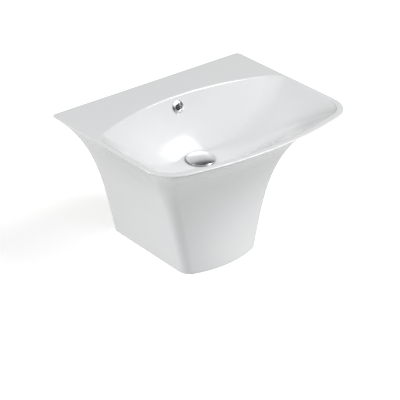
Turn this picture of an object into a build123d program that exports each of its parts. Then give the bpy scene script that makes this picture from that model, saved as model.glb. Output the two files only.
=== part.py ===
from build123d import *
import os
from functools import cache
from math import atan2, cos, degrees, radians, sin, sqrt, tan

# Wall-hung wash basin with an integral half pedestal, its pop-up waste, bottle trap
# and wall fixings. All sizes in mm.
# x = 0 is the middle plane, y = 0 the wall (the user stands at -Y), z = 0 the line
# of the two wall fixings. "Depth" is always measured down from the top of the rim.

# ---- basin: outside
BASIN_WIDTH = 560.0         # across the rim
BASIN_DEPTH = 440.0         # wall to the front of the rim, on the middle plane
BASIN_HEIGHT = 362.0        # top of the rim to the foot of the half pedestal
FOOT_WIDTH = 222.0
FOOT_DEPTH = 297.5          # wall to the front of the foot
RIM_BOW = 43.0              # how far the front edge bows out past its corners
FOOT_BOW = 25.5
RIM_CORNER = 76.0           # front corner radii, in plan
FOOT_CORNER = 32.0
BACK_CORNER = 12.0          # corners that stand against the wall
LIP = 3.0                   # upright edge of the rim
LIP_ROUND = 2.4
FRONT_SWEEP = 4.1           # power of the front's sweep from foot to rim
SIDE_SWEEP = ((1, 0.45), (2, 0.08), (4, 0.47))  # the sides' sweep: power, share
SKIN = 11.0                 # wall of the half pedestal at the foot, measured level
SKIN_GAIN = 7.0             # what the level thickness gains towards the leaning rim

# ---- basin: bowl
RIM_SIDE = 15.0             # width of the rim beside the bowl
RIM_FRONT = 17.0            # and in front of it
DECK_DEPTH = 99.0           # wall to the bowl's back edge, on the middle plane
DECK_RISE = 62.0            # how far the bowl's back edge arches towards the wall
BOWL_DEPTH = 128.0
BOWL_BACK_CORNER = 45.0
BOWL_FRONT_CORNER = 62.0
BACK_LEAN = 25.0            # lean of the bowl's back wall from upright, degrees
DISH_POWER = 3.0            # how late the sides and the front turn into the floor
BACK_POWER = 12.0           # the same for the back wall
BOWL_WALL = 12.0            # thickness of the bowl, and of the deck
SEAT_LAND = 4.0             # flat of the floor round the waste's flange
SEAT_ROUND = 3.0            # the flat is a square, this much short of a full round
SEAT_BOW = 3.0
BOSS_LAND = 17.0            # thickened ring round the drain hole
BOSS_HEIGHT = 38.0
DRAIN_PLAY = 2.05           # drain hole round the waste's tail
RECESS_DEPTH = 2.0          # recess that the waste's flange lies in
RECESS_PLAY = 1.0
PANEL = 14.0                # back panel that takes the wall fixings
PANEL_DEPTH = 165.0         # how far down it reaches

# ---- basin: one casting, kept as zones that meet face to face
PARTING = 3.0               # bowl zones end this far outside the bowl's wall
WEB_LAND = 8.0              # below the web that joins the bowl and the outer wall
END_ZONE = 95.0             # rim ends, measured in from the sides
BOWL_ZONE = 22.0            # middle of the bowl, past the boss
FRONT_ZONE = 16.0           # front of the half pedestal, behind the foot's corners

# ---- overflow
OVERFLOW_DEPTH = 24.5       # centre of the overflow, below the rim
OVERFLOW_BORE = 11.0        # radius of the hole in the china
RING_LAND = 5.2             # the ring's flange, outside the hole in the china
RING_WALL = 4.2
RING_PROUD = 3.2
RING_SPIGOT = 12.0
DUCT_WIDTH = 34.0           # inside of the cast overflow channel
DUCT_REACH = 13.0
DUCT_WALL = 8.0
PASSAGE_HEIGHT = 12.0       # channel's inlet into the drain hole

# ---- pop-up waste, on the drain's axis
FLANGE_LAND = 9.0           # the flange, outside the drain hole
FLANGE = 2.0
FLANGE_SEAL = 1.5
TAIL_RADIUS = 20.95         # G 1 1/4 thread
TAIL_WALL = 2.95
TAIL_LENGTH = 72.0          # below the flange's top face
SLOT_WIDTH = 14.0
SPIDER = 6.0                # height of the three-arm bridge inside the tail
SPIDER_ARM = 3.5
SPIDER_HUB = 3.4            # wall of the bridge's middle ring
CAP_OVERHANG = 2.5          # past the flange
CAP_EDGE = 1.6
CAP_RISE = 3.6
CAP_BOSS_RADIUS = 6.5
CAP_BOSS = 7.0
CAP_SEAL = 1.2
CAP_SEAL_LAND = 2.0         # from the tail's bore to the seal
CAP_SEAL_WIDTH = 6.0
STUD_RADIUS = 3.0           # threaded top of the plunger
PLUNGER_RADIUS = 4.0
PISTON_RADIUS = 5.7
PISTON = 7.0
CAP_TRAVEL = 9.0
CARTRIDGE_WALL = 3.0
CARTRIDGE_LID = 2.0
SPRING_ROOM = 19.5          # length of the spring while the cap is down
SPRING_WIRE = 0.5
SPRING_TURNS = 7
SLIDE_GAP = 0.3             # round pieces that move on each other
SEAT_GAP = 0.3              # between the shut cap and the flange
SEAT_DEEP = 0.5             # flat seat for the overflow ring, sunk in the curved wall
WELD = 0.5                  # how far a cast arm runs into the wall it joins

# ---- below the china
TAIL_SEAL = 5.0
TAIL_WASHER = 2.0
TAIL_NUT = 10.0
NUT_WALL = 7.0              # over the corners of the waste's backnut
NUT_FLANGE = 9.0
CLAMP_LAND = 9.0            # the washers, outside the drain hole
FIT = 0.1                   # gap round pieces that are only fitted together

# ---- bottle trap
PIPE_RADIUS = 16.0          # 32 mm waste pipe
PIPE_WALL = 1.6
UNION_WALL = 5.0
UNION_GRIP = 12.0           # length of union nut on the tail's thread
UNION_LIP = 3.5
UNION_WASHER = 3.0
COLLAR_SHORT = 0.9          # collar of the inlet pipe, inside the union nut
COLLAR = 2.0
RIBS = 18                   # finger ribs round a nut
NECK_NUT_GAP = 4.0          # between the union nut and the neck nut
NECK_NUT = 14.0
NECK_NUT_WALL = 4.5
NECK = 10.0
NECK_WALL = 4.0             # of the threaded necks round the pipes
TRAP_RING = 13.0            # water space and wall round the dip pipe
TRAP_WALL = 2.8
BRANCH_LAND = 2.0           # shoulder of the trap to the top of the outlet branch
BRANCH_REACH = 19.0         # of the outlet branch, outside the trap's body
CUP_OVERLAP = 12.0
CUP_LENGTH = 68.0
CUP_WALL = 2.6
DIP_GAP = 22.0              # end of the inlet pipe above the cup's floor
ORING = 1.6                 # radius of its section
OUTLET_LENGTH = 55.0        # free end of the outlet pipe behind the wall plane
OUTLET_CHAMFER = 1.0
DEPTH_MARK = 1.5            # groove that shows how far the pipe goes into the wall
DEPTH_MARK_DEEP = 0.3
ROSE_LAND = 20.0            # wall flange, outside the pipe
ROSE_REACH = 11.0
ROSE_WALL = 1.6

# ---- wall fixings
FIXING_SPACING = 280.0
FIXING_DROP = 95.0          # below the rim
BOLT_RADIUS = 5.0           # M10 hanger bolts
SCREW_RADIUS = 4.8          # their wood-screw ends, in the wall
BOLT_IN_WALL = 60.0
BOLT_INSIDE = 46.0
SLEEVE_WALL = 2.8
SLEEVE_LAND = 6.0
SLEEVE_FLANGE = 3.0
WASHER_LAND = 7.0
WASHER = 2.0
HEX_FLATS = 17.0
HEX_HEIGHT = 8.0

# ---- radii that follow from what goes through or into each piece
TAIL_BORE = TAIL_RADIUS - TAIL_WALL
DRAIN_HOLE_RADIUS = TAIL_RADIUS + DRAIN_PLAY
FLANGE_RADIUS = DRAIN_HOLE_RADIUS + FLANGE_LAND
BOSS_RADIUS = DRAIN_HOLE_RADIUS + BOSS_LAND
CLAMP_RADIUS = DRAIN_HOLE_RADIUS + CLAMP_LAND
NUT_RADIUS = TAIL_RADIUS + NUT_WALL
SEAT_HALF = FLANGE_RADIUS + SEAT_LAND
SEAT_CORNER = SEAT_HALF - SEAT_ROUND
RING_RADIUS = OVERFLOW_BORE + RING_LAND
CAP_RADIUS = FLANGE_RADIUS + CAP_OVERHANG
CAP_SEAL_HOLE = TAIL_BORE + CAP_SEAL_LAND
CAP_SEAL_RADIUS = CAP_SEAL_HOLE + CAP_SEAL_WIDTH
CARTRIDGE_BORE = PISTON_RADIUS + SLIDE_GAP
CARTRIDGE_RADIUS = CARTRIDGE_BORE + CARTRIDGE_WALL
HUB_RADIUS = CARTRIDGE_RADIUS + FIT + SPIDER_HUB
UNION_RADIUS = TAIL_RADIUS + UNION_WALL
COLLAR_RADIUS = TAIL_RADIUS - COLLAR_SHORT
NECK_RADIUS = PIPE_RADIUS + NECK_WALL
NECK_NUT_RADIUS = NECK_RADIUS + NECK_NUT_WALL
TRAP_RADIUS = PIPE_RADIUS + TRAP_RING
ROSE_RADIUS = PIPE_RADIUS + ROSE_LAND
SLEEVE_RADIUS = BOLT_RADIUS + FIT + SLEEVE_WALL
FIXING_HOLE = SLEEVE_RADIUS + FIT
SLEEVE_FLANGE_RADIUS = FIXING_HOLE + SLEEVE_LAND
WASHER_RADIUS = BOLT_RADIUS + WASHER_LAND

# ---- levels and places that follow from the sizes
DRAIN_Y = -DECK_DEPTH - BOWL_DEPTH * tan(radians(BACK_LEAN)) - SEAT_HALF
BOWL_FLOOR = BOWL_DEPTH
RECESS_FLOOR = BOWL_FLOOR + RECESS_DEPTH
FLANGE_TOP = RECESS_FLOOR - FLANGE_SEAL - FLANGE
BOSS_BOTTOM = BOWL_FLOOR + BOSS_HEIGHT
TAIL_END = FLANGE_TOP + TAIL_LENGTH
SEAL_UNDER = FLANGE_TOP - SEAT_GAP
CAP_UNDER = SEAL_UNDER - CAP_SEAL
PASSAGE_MID = (RECESS_FLOOR + BOSS_BOTTOM) / 2
CARTRIDGE_TOP = CAP_UNDER + CAP_BOSS + CAP_TRAVEL + 4.0
PISTON_TOP = CARTRIDGE_TOP + CARTRIDGE_LID + SLIDE_GAP + CAP_TRAVEL
SPRING_TOP = PISTON_TOP + PISTON
SPRING_FOOT = SPRING_TOP + SPRING_ROOM
CARTRIDGE_END = SPRING_FOOT + CARTRIDGE_LID
SPIDER_MID = BOSS_BOTTOM
UNION_TOP = TAIL_END - UNION_GRIP
COLLAR_TOP = TAIL_END + UNION_WASHER
UNION_END = COLLAR_TOP + COLLAR + FIT + UNION_LIP
UNION_LENGTH = UNION_END - UNION_TOP
NECK_NUT_TOP = UNION_END + NECK_NUT_GAP
NECK_TOP = NECK_NUT_TOP + UNION_LIP + UNION_WASHER
SHOULDER = NECK_TOP + NECK
BRANCH_DEPTH = SHOULDER + BRANCH_LAND + NECK_RADIUS
TRAP_END = SHOULDER + 2 * (BRANCH_LAND + NECK_RADIUS) + CUP_OVERLAP
CUP_TOP = TRAP_END - CUP_OVERLAP
CUP_END = CUP_TOP + CUP_LENGTH
DIP_END = CUP_END - CUP_WALL - DIP_GAP
BRANCH_END = DRAIN_Y + TRAP_RADIUS + BRANCH_REACH


def level(depth):
    """Height of a place that lies this far below the rim."""
    return FIXING_DROP - depth


def on_drain(depth):
    """A place on the drain's axis."""
    return Pos(0, DRAIN_Y, level(depth))


def ring_arc(center, radius, start, end, z):
    """Arc about a centre, from one angle in degrees to the other."""
    def at(angle):
        turn = radians(angle)
        return (center[0] + radius * cos(turn), center[1] + radius * sin(turn), z)
    return ThreePointArc(at(start), at((start + end) / 2), at(end))


def outline(half, back, arch, back_corner, front, bow, front_corner, depth):
    """Closed plan outline: straight sides, a bowed front, a straight or arched back."""
    z = level(depth)
    front_radius = (half ** 2 + bow ** 2) / (2 * bow)
    front_center = front + front_radius
    inner = half - front_corner
    corner_y = front_center - sqrt((front_radius - front_corner) ** 2 - inner ** 2)
    front_turn = degrees(atan2(front_center - corner_y, inner))
    back_inner = half - back_corner
    if arch:
        back_radius = (half ** 2 + arch ** 2) / (2 * arch)
        back_center = back - back_radius
        back_y = back_center + sqrt((back_radius - back_corner) ** 2 - back_inner ** 2)
        back_turn = degrees(atan2(back_y - back_center, back_inner))
        back_edge = ring_arc((0, back_center), back_radius, back_turn, 180 - back_turn, z)
    else:
        back_y = back - back_corner
        back_turn = 90.0
        back_edge = Line((back_inner, back, z), (-back_inner, back, z))
    edges = [
        Line((half, corner_y, z), (half, back_y, z)),
        ring_arc((back_inner, back_y), back_corner, 0, back_turn, z),
        back_edge,
        ring_arc((-back_inner, back_y), back_corner, 180 - back_turn, 180, z),
        Line((-half, back_y, z), (-half, corner_y, z)),
        ring_arc((-inner, corner_y), front_corner, 180, 180 + front_turn, z),
        ring_arc((0, front_center), front_radius, 180 + front_turn, 360 - front_turn, z),
        ring_arc((inner, corner_y), front_corner, 360 - front_turn, 360, z),
    ]
    return Face(Wire(edges))


def rise(depth):
    """How far up from the foot (0) to the lip (1) a depth lies."""
    return 1 - max(depth - LIP, 0) / (BASIN_HEIGHT - LIP)


def side_share(depth):
    """How far the sides have swept out from the foot (0) to the lip (1)."""
    return sum(share * rise(depth) ** power for power, share in SIDE_SWEEP)


def front_share(depth):
    """The same for the front."""
    return rise(depth) ** FRONT_SWEEP


def between(low, high, share):
    return low + (high - low) * share


def half_width(depth):
    return between(FOOT_WIDTH, BASIN_WIDTH, side_share(depth)) / 2


def front_line(depth):
    return -between(FOOT_DEPTH, BASIN_DEPTH, front_share(depth))


def skin_outline(depth, inset=0.0, back=0.0):
    """Outside of the basin at a depth, or a line that far inside it."""
    share = front_share(depth)
    return outline(
        half_width(depth) - inset, back, 0, BACK_CORNER,
        front_line(depth) + inset, between(FOOT_BOW, RIM_BOW, share),
        between(FOOT_CORNER, RIM_CORNER, share) - inset, depth,
    )


def skin_solid():
    """The whole outer shape, solid: swept walls with an upright lip on top."""
    below = BASIN_HEIGHT - LIP
    shares = (1.0, 0.86, 0.72, 0.58, 0.45, 0.34, 0.24, 0.16, 0.09, 0.04, 0.0)
    sections = [skin_outline(LIP + below * share) for share in shares]
    lip = extrude(skin_outline(LIP), amount=LIP)
    return loft(sections) + lip


def bowl_back(depth):
    """Place of the bowl's leaning back wall, on the middle plane."""
    return -DECK_DEPTH - depth * tan(radians(BACK_LEAN))


def bowl_outline(depth, grow=0.0):
    """Inside of the bowl at a depth, or the outside of its wall."""
    fall = min(depth / (BOWL_DEPTH + grow), 1.0)
    dish = sqrt(1 - fall ** DISH_POWER)
    wall = sqrt(1 - fall ** BACK_POWER)
    side = min(depth, BOWL_DEPTH)
    half = between(SEAT_HALF, half_width(side) - RIM_SIDE, dish) + grow
    front = between(DRAIN_Y - SEAT_HALF, front_line(side) + RIM_FRONT, dish) - grow
    back = between(DRAIN_Y + SEAT_HALF, bowl_back(side), wall) + grow
    return outline(
        half, back, between(SEAT_BOW, DECK_RISE, dish),
        between(SEAT_CORNER, BOWL_BACK_CORNER, dish) + grow,
        front, between(SEAT_BOW, RIM_BOW, dish),
        between(SEAT_CORNER, BOWL_FRONT_CORNER, dish) + grow, depth,
    )


def bowl_solid(grow=0.0):
    """The bowl's hollow, or with grow the bowl with its wall."""
    floor = BOWL_DEPTH + grow
    shares = (1.0, 0.985, 0.94, 0.86, 0.74, 0.6, 0.45, 0.3, 0.15, 0.0)
    sections = [bowl_outline(floor * share, grow) for share in shares]
    return loft(sections) + extrude(bowl_outline(0, grow), amount=1)


def box_between(low, high):
    """Box from its lowest to its highest corner, where z is given as depths."""
    size = [high[0] - low[0], high[1] - low[1], low[2] - high[2]]
    middle = [(low[0] + high[0]) / 2, (low[1] + high[1]) / 2]
    return Pos(middle[0], middle[1], level((low[2] + high[2]) / 2)) * Box(*size)


def post(radius, top, bottom):
    """Round bar on the drain's axis, between two depths."""
    bar = Cylinder(radius, bottom - top, align=(Align.CENTER, Align.CENTER, Align.MAX))
    return on_drain(top) * bar


def tube(radius, bore, top, bottom):
    return post(radius, top, bottom) - post(bore, top - 1, bottom + 1)


def overflow_place():
    """Frame on the bowl's back wall: z points out of the wall, into the bowl."""
    place = Pos(0, bowl_back(OVERFLOW_DEPTH), level(OVERFLOW_DEPTH))
    return place * Rot(90 - BACK_LEAN, 0, 0)


def underside():
    """Open space inside the half pedestal, below the deck and round the bowl."""
    shares = (1.0, 0.85, 0.7, 0.55, 0.4, 0.27, 0.16, 0.07, 0.0)
    top = BOWL_WALL
    sections = []
    for share in shares:
        depth = between(top, BASIN_HEIGHT, share)
        inset = SKIN + SKIN_GAIN * side_share(depth)
        sections.append(skin_outline(depth, inset, back=-PANEL))
    space = loft(sections) + extrude(sections[0], amount=5, dir=(0, 0, -1))
    space += box_between(
        (-FOOT_WIDTH / 2 + SKIN, -PANEL - BACK_CORNER, BASIN_HEIGHT + 1),
        (FOOT_WIDTH / 2 - SKIN, 1, PANEL_DEPTH),
    )
    space -= bowl_solid(BOWL_WALL)
    space -= overflow_block()
    return space - post(BOSS_RADIUS, BOWL_FLOOR, BOSS_BOTTOM)


def leaning_bar(near, far, width, top, bottom):
    """Bar parallel to the bowl's back wall, between two distances behind it."""
    corners = [
        (bowl_back(top) + near, level(top)), (bowl_back(top) + far, level(top)),
        (bowl_back(bottom) + far, level(bottom)), (bowl_back(bottom) + near, level(bottom)),
    ]
    side = make_face(Polyline(*corners, close=True))
    return extrude(Plane.YZ * side, amount=width / 2, both=True)


def overflow_block():
    """China round the overflow channel, down the bowl's back and in to the drain."""
    back = BOWL_WALL + DUCT_REACH + DUCT_WALL
    width = DUCT_WIDTH + 2 * DUCT_WALL
    block = leaning_bar(0, back, width, BOWL_WALL / 2, BOSS_BOTTOM)
    foot = box_between(
        (-width / 2, DRAIN_Y, BOSS_BOTTOM),
        (width / 2, bowl_back(BOSS_BOTTOM) + back, BOWL_FLOOR),
    )
    return block + foot


def overflow_channel():
    """Hollow of the channel, from the overflow hole to the drain hole."""
    low = PASSAGE_MID + PASSAGE_HEIGHT / 2
    far = BOWL_WALL + DUCT_REACH
    channel = leaning_bar(BOWL_WALL, far, DUCT_WIDTH, BOWL_WALL, low)
    channel += box_between(
        (-SLOT_WIDTH, DRAIN_Y, low),
        (SLOT_WIDTH, bowl_back(low) + far, low - PASSAGE_HEIGHT),
    )
    return channel + overflow_place() * Cylinder(OVERFLOW_BORE, 2 * BOWL_WALL + DUCT_REACH)


def web_depth():
    """Level below which the bowl and the outer wall are apart all round."""
    walls = BOWL_WALL + SKIN + SKIN_GAIN
    side_run = BASIN_WIDTH / 2 - RIM_SIDE - SEAT_HALF
    front_run = BASIN_DEPTH - RIM_FRONT + DRAIN_Y - SEAT_HALF
    side_dish = 1 - (walls - RIM_SIDE) / side_run
    front_dish = 1 - (walls - RIM_FRONT) / front_run
    fall = (1 - min(side_dish, front_dish) ** 2) ** (1 / DISH_POWER)
    return BOWL_DEPTH * fall + WEB_LAND


@cache
def china():
    """The whole casting."""
    body = skin_solid()
    rim_edges = body.edges().filter_by_position(Axis.Z, level(0.1), level(-0.1))
    body = fillet(rim_edges, LIP_ROUND)
    body -= bowl_solid()
    body -= underside()
    body -= overflow_channel()
    seat = overflow_place() * Cylinder(RING_RADIUS + SEAT_GAP, 2 * SEAT_DEEP)
    body -= seat
    body -= post(FLANGE_RADIUS + RECESS_PLAY, BOWL_FLOOR - 1, RECESS_FLOOR)
    body -= post(DRAIN_HOLE_RADIUS, BOWL_FLOOR, BOSS_BOTTOM + 1)
    return body - at_fixings(Cylinder(FIXING_HOLE, 3 * PANEL))


def zone_box(x, y, depth):
    """Box between pairs of limits; None leaves that side open."""
    far = BASIN_WIDTH + BASIN_DEPTH
    low_x, high_x = (-far if x[0] is None else x[0]), (far if x[1] is None else x[1])
    low_y, high_y = (-far if y[0] is None else y[0]), (far if y[1] is None else y[1])
    top, bottom = (-far if depth[0] is None else depth[0]), (far if depth[1] is None else depth[1])
    return box_between((low_x, low_y, bottom), (high_x, high_y, top))


@cache
def rim_level():
    return china() & zone_box((None, None), (None, None), (None, web_depth()))


@cache
def low_level():
    return china() & zone_box((None, None), (None, None), (web_depth(), None))


@cache
def bowl_jacket():
    return bowl_solid(BOWL_WALL + PARTING)


def duct_box():
    half = BOSS_RADIUS + PARTING
    return zone_box((-half, half), (DRAIN_Y - half, -PANEL), (None, BOSS_BOTTOM + PARTING))


@cache
def low_bowl():
    return low_level() & bowl_jacket()


@cache
def low_wall():
    return low_level() - bowl_jacket() - duct_box()


def end_line():
    return BASIN_WIDTH / 2 - END_ZONE


def front_zone_line():
    return -FOOT_DEPTH + FOOT_CORNER + FRONT_ZONE


def make_rim_left():
    return rim_level() & zone_box((None, -end_line()), (None, None), (None, None))


def make_rim_right():
    return rim_level() & zone_box((end_line(), None), (None, None), (None, None))


def make_rim_front():
    return rim_level() & zone_box((-end_line(), end_line()), (None, DRAIN_Y), (None, None))


def make_deck():
    return rim_level() & zone_box((-end_line(), end_line()), (DRAIN_Y, None), (None, None))


def make_bowl_left():
    limit = BOSS_RADIUS + BOWL_ZONE
    return low_bowl() & zone_box((None, -limit), (None, None), (None, None))


def make_bowl_right():
    limit = BOSS_RADIUS + BOWL_ZONE
    return low_bowl() & zone_box((limit, None), (None, None), (None, None))


def make_bowl_floor():
    limit = BOSS_RADIUS + BOWL_ZONE
    return low_bowl() & zone_box((-limit, limit), (None, None), (None, None))


def make_overflow_duct():
    return (low_level() - bowl_jacket()) & duct_box()


def make_back_panel():
    return low_wall() & zone_box((None, None), (-PANEL, None), (None, PANEL_DEPTH))


def side_wall(x):
    """The outer wall on one side, behind the front corners."""
    piece = low_wall() & zone_box(x, (front_zone_line(), None), (None, None))
    return piece - zone_box((None, None), (-PANEL, None), (None, PANEL_DEPTH))


def make_pedestal_left():
    return side_wall((None, 0))


def make_pedestal_right():
    return side_wall((0, None))


def make_pedestal_front_left():
    return low_wall() & zone_box((None, 0), (None, front_zone_line()), (None, None))


def make_pedestal_front_right():
    return low_wall() & zone_box((0, None), (None, front_zone_line()), (None, None))


def make_overflow_ring():
    """Flanged ring with a spigot that plugs into the overflow hole."""
    ring = Cylinder(RING_RADIUS, RING_PROUD, align=(Align.CENTER, Align.CENTER, Align.MIN))
    outer = ring.edges().sort_by(Axis.Z)[-1]
    ring = fillet(outer, RING_PROUD * 0.6)
    spigot = Cylinder(OVERFLOW_BORE - FIT, RING_SPIGOT,
                      align=(Align.CENTER, Align.CENTER, Align.MAX))
    ring = ring + spigot - Cylinder(OVERFLOW_BORE - RING_WALL, 4 * RING_SPIGOT)
    return overflow_place() * Pos(0, 0, -SEAT_DEEP) * ring


def make_waste_body():
    """Flange, threaded tail with overflow slots, and the bridge for the cartridge."""
    body = post(FLANGE_RADIUS, FLANGE_TOP, FLANGE_TOP + FLANGE)
    rim = body.edges().sort_by(Axis.Z)[-1]
    body = fillet(rim, FLANGE * 0.6)
    body += post(TAIL_RADIUS, FLANGE_TOP + FLANGE, TAIL_END)
    body -= post(TAIL_BORE, FLANGE_TOP - 1, TAIL_END + 1)
    high = PASSAGE_MID - PASSAGE_HEIGHT / 2
    for turn in (0, 90):
        slot = Box(3 * TAIL_RADIUS, SLOT_WIDTH, PASSAGE_HEIGHT,
                   align=(Align.CENTER, Align.CENTER, Align.MAX))
        body -= on_drain(high) * Rot(0, 0, turn) * slot
    top = SPIDER_MID - SPIDER / 2
    bridge = post(HUB_RADIUS, top, top + SPIDER)
    for turn in (90, 210, 330):
        arm = Box(TAIL_BORE + WELD, SPIDER_ARM, SPIDER,
                  align=(Align.MIN, Align.CENTER, Align.MAX))
        bridge += on_drain(top) * Rot(0, 0, turn) * arm
    bridge -= post(CARTRIDGE_RADIUS + FIT, top - 1, top + SPIDER + 1)
    return body + bridge


def make_flange_seal():
    return tube(FLANGE_RADIUS - 1, TAIL_RADIUS + FIT, FLANGE_TOP + FLANGE, RECESS_FLOOR)


def make_drain_cap():
    """Low dome with a threaded boss under its middle."""
    reach = (CAP_RADIUS ** 2 + CAP_RISE ** 2) / (2 * CAP_RISE)
    edge_top = CAP_UNDER - CAP_EDGE
    dome = Pos(0, DRAIN_Y, level(edge_top - CAP_RISE + reach)) * Sphere(reach)
    cap = dome & post(CAP_RADIUS, edge_top - CAP_RISE - 1, CAP_UNDER)
    cap += post(CAP_BOSS_RADIUS, CAP_UNDER, CAP_UNDER + CAP_BOSS)
    stud = post(STUD_RADIUS + FIT, CAP_UNDER + 1, CAP_UNDER + CAP_BOSS + 1)
    return cap - stud


def make_cap_seal():
    return tube(CAP_SEAL_RADIUS, CAP_SEAL_HOLE, CAP_UNDER, SEAL_UNDER)


def make_plunger():
    """Pin with a threaded stud on top and a piston at its foot."""
    pin = post(STUD_RADIUS, CAP_UNDER + 1.5, CAP_UNDER + CAP_BOSS)
    pin += post(PLUNGER_RADIUS, CAP_UNDER + CAP_BOSS, PISTON_TOP + 1)
    return pin + post(PISTON_RADIUS, PISTON_TOP, SPRING_TOP)


def make_cartridge():
    """Closed barrel, screwed into the bridge, with a collar that rests on it."""
    barrel = post(CARTRIDGE_RADIUS, CARTRIDGE_TOP, CARTRIDGE_END)
    collar_top = SPIDER_MID - SPIDER / 2 - CARTRIDGE_LID
    barrel += post(HUB_RADIUS, collar_top, SPIDER_MID - SPIDER / 2)
    barrel -= post(CARTRIDGE_BORE, CARTRIDGE_TOP + CARTRIDGE_LID, SPRING_FOOT)
    return barrel - post(PLUNGER_RADIUS + SLIDE_GAP, CARTRIDGE_TOP - 1, PISTON_TOP)


def make_cartridge_spring():
    """Coil spring between the piston and the barrel's floor."""
    radius = CARTRIDGE_BORE - SPRING_WIRE - 2 * SLIDE_GAP
    height = SPRING_ROOM - 2 * SPRING_WIRE - 2 * SLIDE_GAP
    path = Helix(height / SPRING_TURNS, height, radius)
    wire = Plane(origin=path @ 0, z_dir=path % 0) * Circle(SPRING_WIRE)
    return on_drain(SPRING_FOOT - SPRING_WIRE - SLIDE_GAP) * sweep(wire, path=path)


def make_tail_seal():
    """Flat washer with a cone that centres the tail in the drain hole."""
    bottom = BOSS_BOTTOM + TAIL_SEAL
    seal = post(CLAMP_RADIUS, BOSS_BOTTOM, bottom)
    cone = Cone(DRAIN_HOLE_RADIUS - FIT, TAIL_RADIUS + 3 * FIT, TAIL_SEAL,
                align=(Align.CENTER, Align.CENTER, Align.MIN))
    seal += on_drain(BOSS_BOTTOM) * cone
    return seal - post(TAIL_RADIUS + FIT, BOSS_BOTTOM - 2 * TAIL_SEAL, bottom + 1)


def make_tail_washer():
    top = BOSS_BOTTOM + TAIL_SEAL
    return tube(CLAMP_RADIUS, TAIL_RADIUS + FIT, top, top + TAIL_WASHER)


def make_tail_nut():
    """Hexagon backnut with a round flange against the washer."""
    top = BOSS_BOTTOM + TAIL_SEAL + TAIL_WASHER
    hexagon = extrude(RegularPolygon(NUT_RADIUS, 6), amount=-TAIL_NUT)
    nut = on_drain(top) * hexagon
    nut += post(TAIL_RADIUS + NUT_FLANGE, top, top + TAIL_WASHER)
    return nut - post(TAIL_RADIUS + FIT, top - 1, top + TAIL_NUT + 1)


def ribbed_nut(radius, bore, hole, top, length):
    """Round nut with finger ribs, open at the top, lipped at its foot."""
    nut = tube(radius, bore, top, top + length - UNION_LIP)
    nut += tube(radius, hole, top + length - UNION_LIP, top + length)
    rib = Cylinder(radius * 0.06, length, align=(Align.CENTER, Align.CENTER, Align.MAX))
    for turn in range(RIBS):
        nut += on_drain(top) * Rot(0, 0, turn * 360 / RIBS) * Pos(radius, 0, 0) * rib
    return nut


def make_union_nut():
    return ribbed_nut(UNION_RADIUS, TAIL_RADIUS + FIT, PIPE_RADIUS + SEAT_GAP,
                      UNION_TOP, UNION_LENGTH)


def make_union_washer():
    return tube(TAIL_RADIUS - FIT, TAIL_BORE, TAIL_END, COLLAR_TOP)


def make_inlet_pipe():
    """Collared pipe that hangs in the union nut and dips into the cup."""
    pipe = post(PIPE_RADIUS, COLLAR_TOP, DIP_END)
    pipe += post(COLLAR_RADIUS, COLLAR_TOP, COLLAR_TOP + COLLAR)
    return pipe - post(PIPE_RADIUS - PIPE_WALL, COLLAR_TOP - 1, DIP_END + 1)


def make_neck_nut():
    """Nut over the trap's neck, lipped at its top."""
    lip = NECK_NUT_TOP + UNION_LIP
    nut = tube(NECK_NUT_RADIUS, PIPE_RADIUS + SEAT_GAP, NECK_NUT_TOP, lip)
    nut += tube(NECK_NUT_RADIUS, NECK_RADIUS + FIT, lip, NECK_NUT_TOP + NECK_NUT)
    rib = Cylinder(NECK_NUT_RADIUS * 0.06, NECK_NUT,
                   align=(Align.CENTER, Align.CENTER, Align.MAX))
    for turn in range(RIBS):
        place = Rot(0, 0, turn * 360 / RIBS) * Pos(NECK_NUT_RADIUS, 0, 0)
        nut += on_drain(NECK_NUT_TOP) * place * rib
    return nut


def make_neck_washer():
    return tube(NECK_RADIUS - FIT, PIPE_RADIUS + FIT, NECK_NUT_TOP + UNION_LIP, NECK_TOP)


def branch_post(radius, start, end):
    """Round bar along the outlet's axis, between two distances from the wall."""
    bar = Cylinder(radius, end - start, align=(Align.CENTER, Align.CENTER, Align.MIN))
    return Pos(0, start, level(BRANCH_DEPTH)) * Rot(-90, 0, 0) * bar


def make_trap_body():
    """Neck, round body and outlet branch, open at the foot for the cup."""
    inside = TRAP_RADIUS - TRAP_WALL
    body = post(TRAP_RADIUS, SHOULDER, TRAP_END)
    body = fillet(body.edges().sort_by(Axis.Z)[-1], TRAP_WALL)
    body += post(NECK_RADIUS, NECK_TOP, SHOULDER + 1)
    body += branch_post(NECK_RADIUS, DRAIN_Y, BRANCH_END)
    body -= post(inside, SHOULDER + TRAP_WALL, TRAP_END + 1)
    body -= branch_post(PIPE_RADIUS - PIPE_WALL, DRAIN_Y, BRANCH_END + 1)
    return body - post(PIPE_RADIUS + FIT, NECK_TOP - 1, SHOULDER + TRAP_WALL + 1)


def cup_inside():
    return TRAP_RADIUS + FIT


def make_trap_cup():
    """Round cup with a domed floor edge and a ribbed grip."""
    radius = cup_inside() + CUP_WALL
    cup = post(radius, CUP_TOP, CUP_END)
    cup = fillet(cup.edges().sort_by(Axis.Z)[0], 3 * CUP_WALL)
    cup -= post(cup_inside(), CUP_TOP - 1, TRAP_END + 2 * ORING + FIT)
    hollow = post(TRAP_RADIUS - TRAP_WALL, CUP_TOP, CUP_END - CUP_WALL)
    hollow = fillet(hollow.edges().sort_by(Axis.Z)[0], 2 * CUP_WALL)
    cup -= hollow
    rib = Cylinder(radius * 0.05, CUP_OVERLAP, align=(Align.CENTER, Align.CENTER, Align.MAX))
    for turn in range(RIBS):
        cup += on_drain(CUP_TOP) * Rot(0, 0, turn * 360 / RIBS) * Pos(radius, 0, 0) * rib
    return cup


def make_cup_seal():
    """O-ring under the foot of the trap's body."""
    ring = Torus(TRAP_RADIUS - ORING - FIT, ORING)
    return on_drain(TRAP_END + ORING + FIT / 2) * ring


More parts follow.
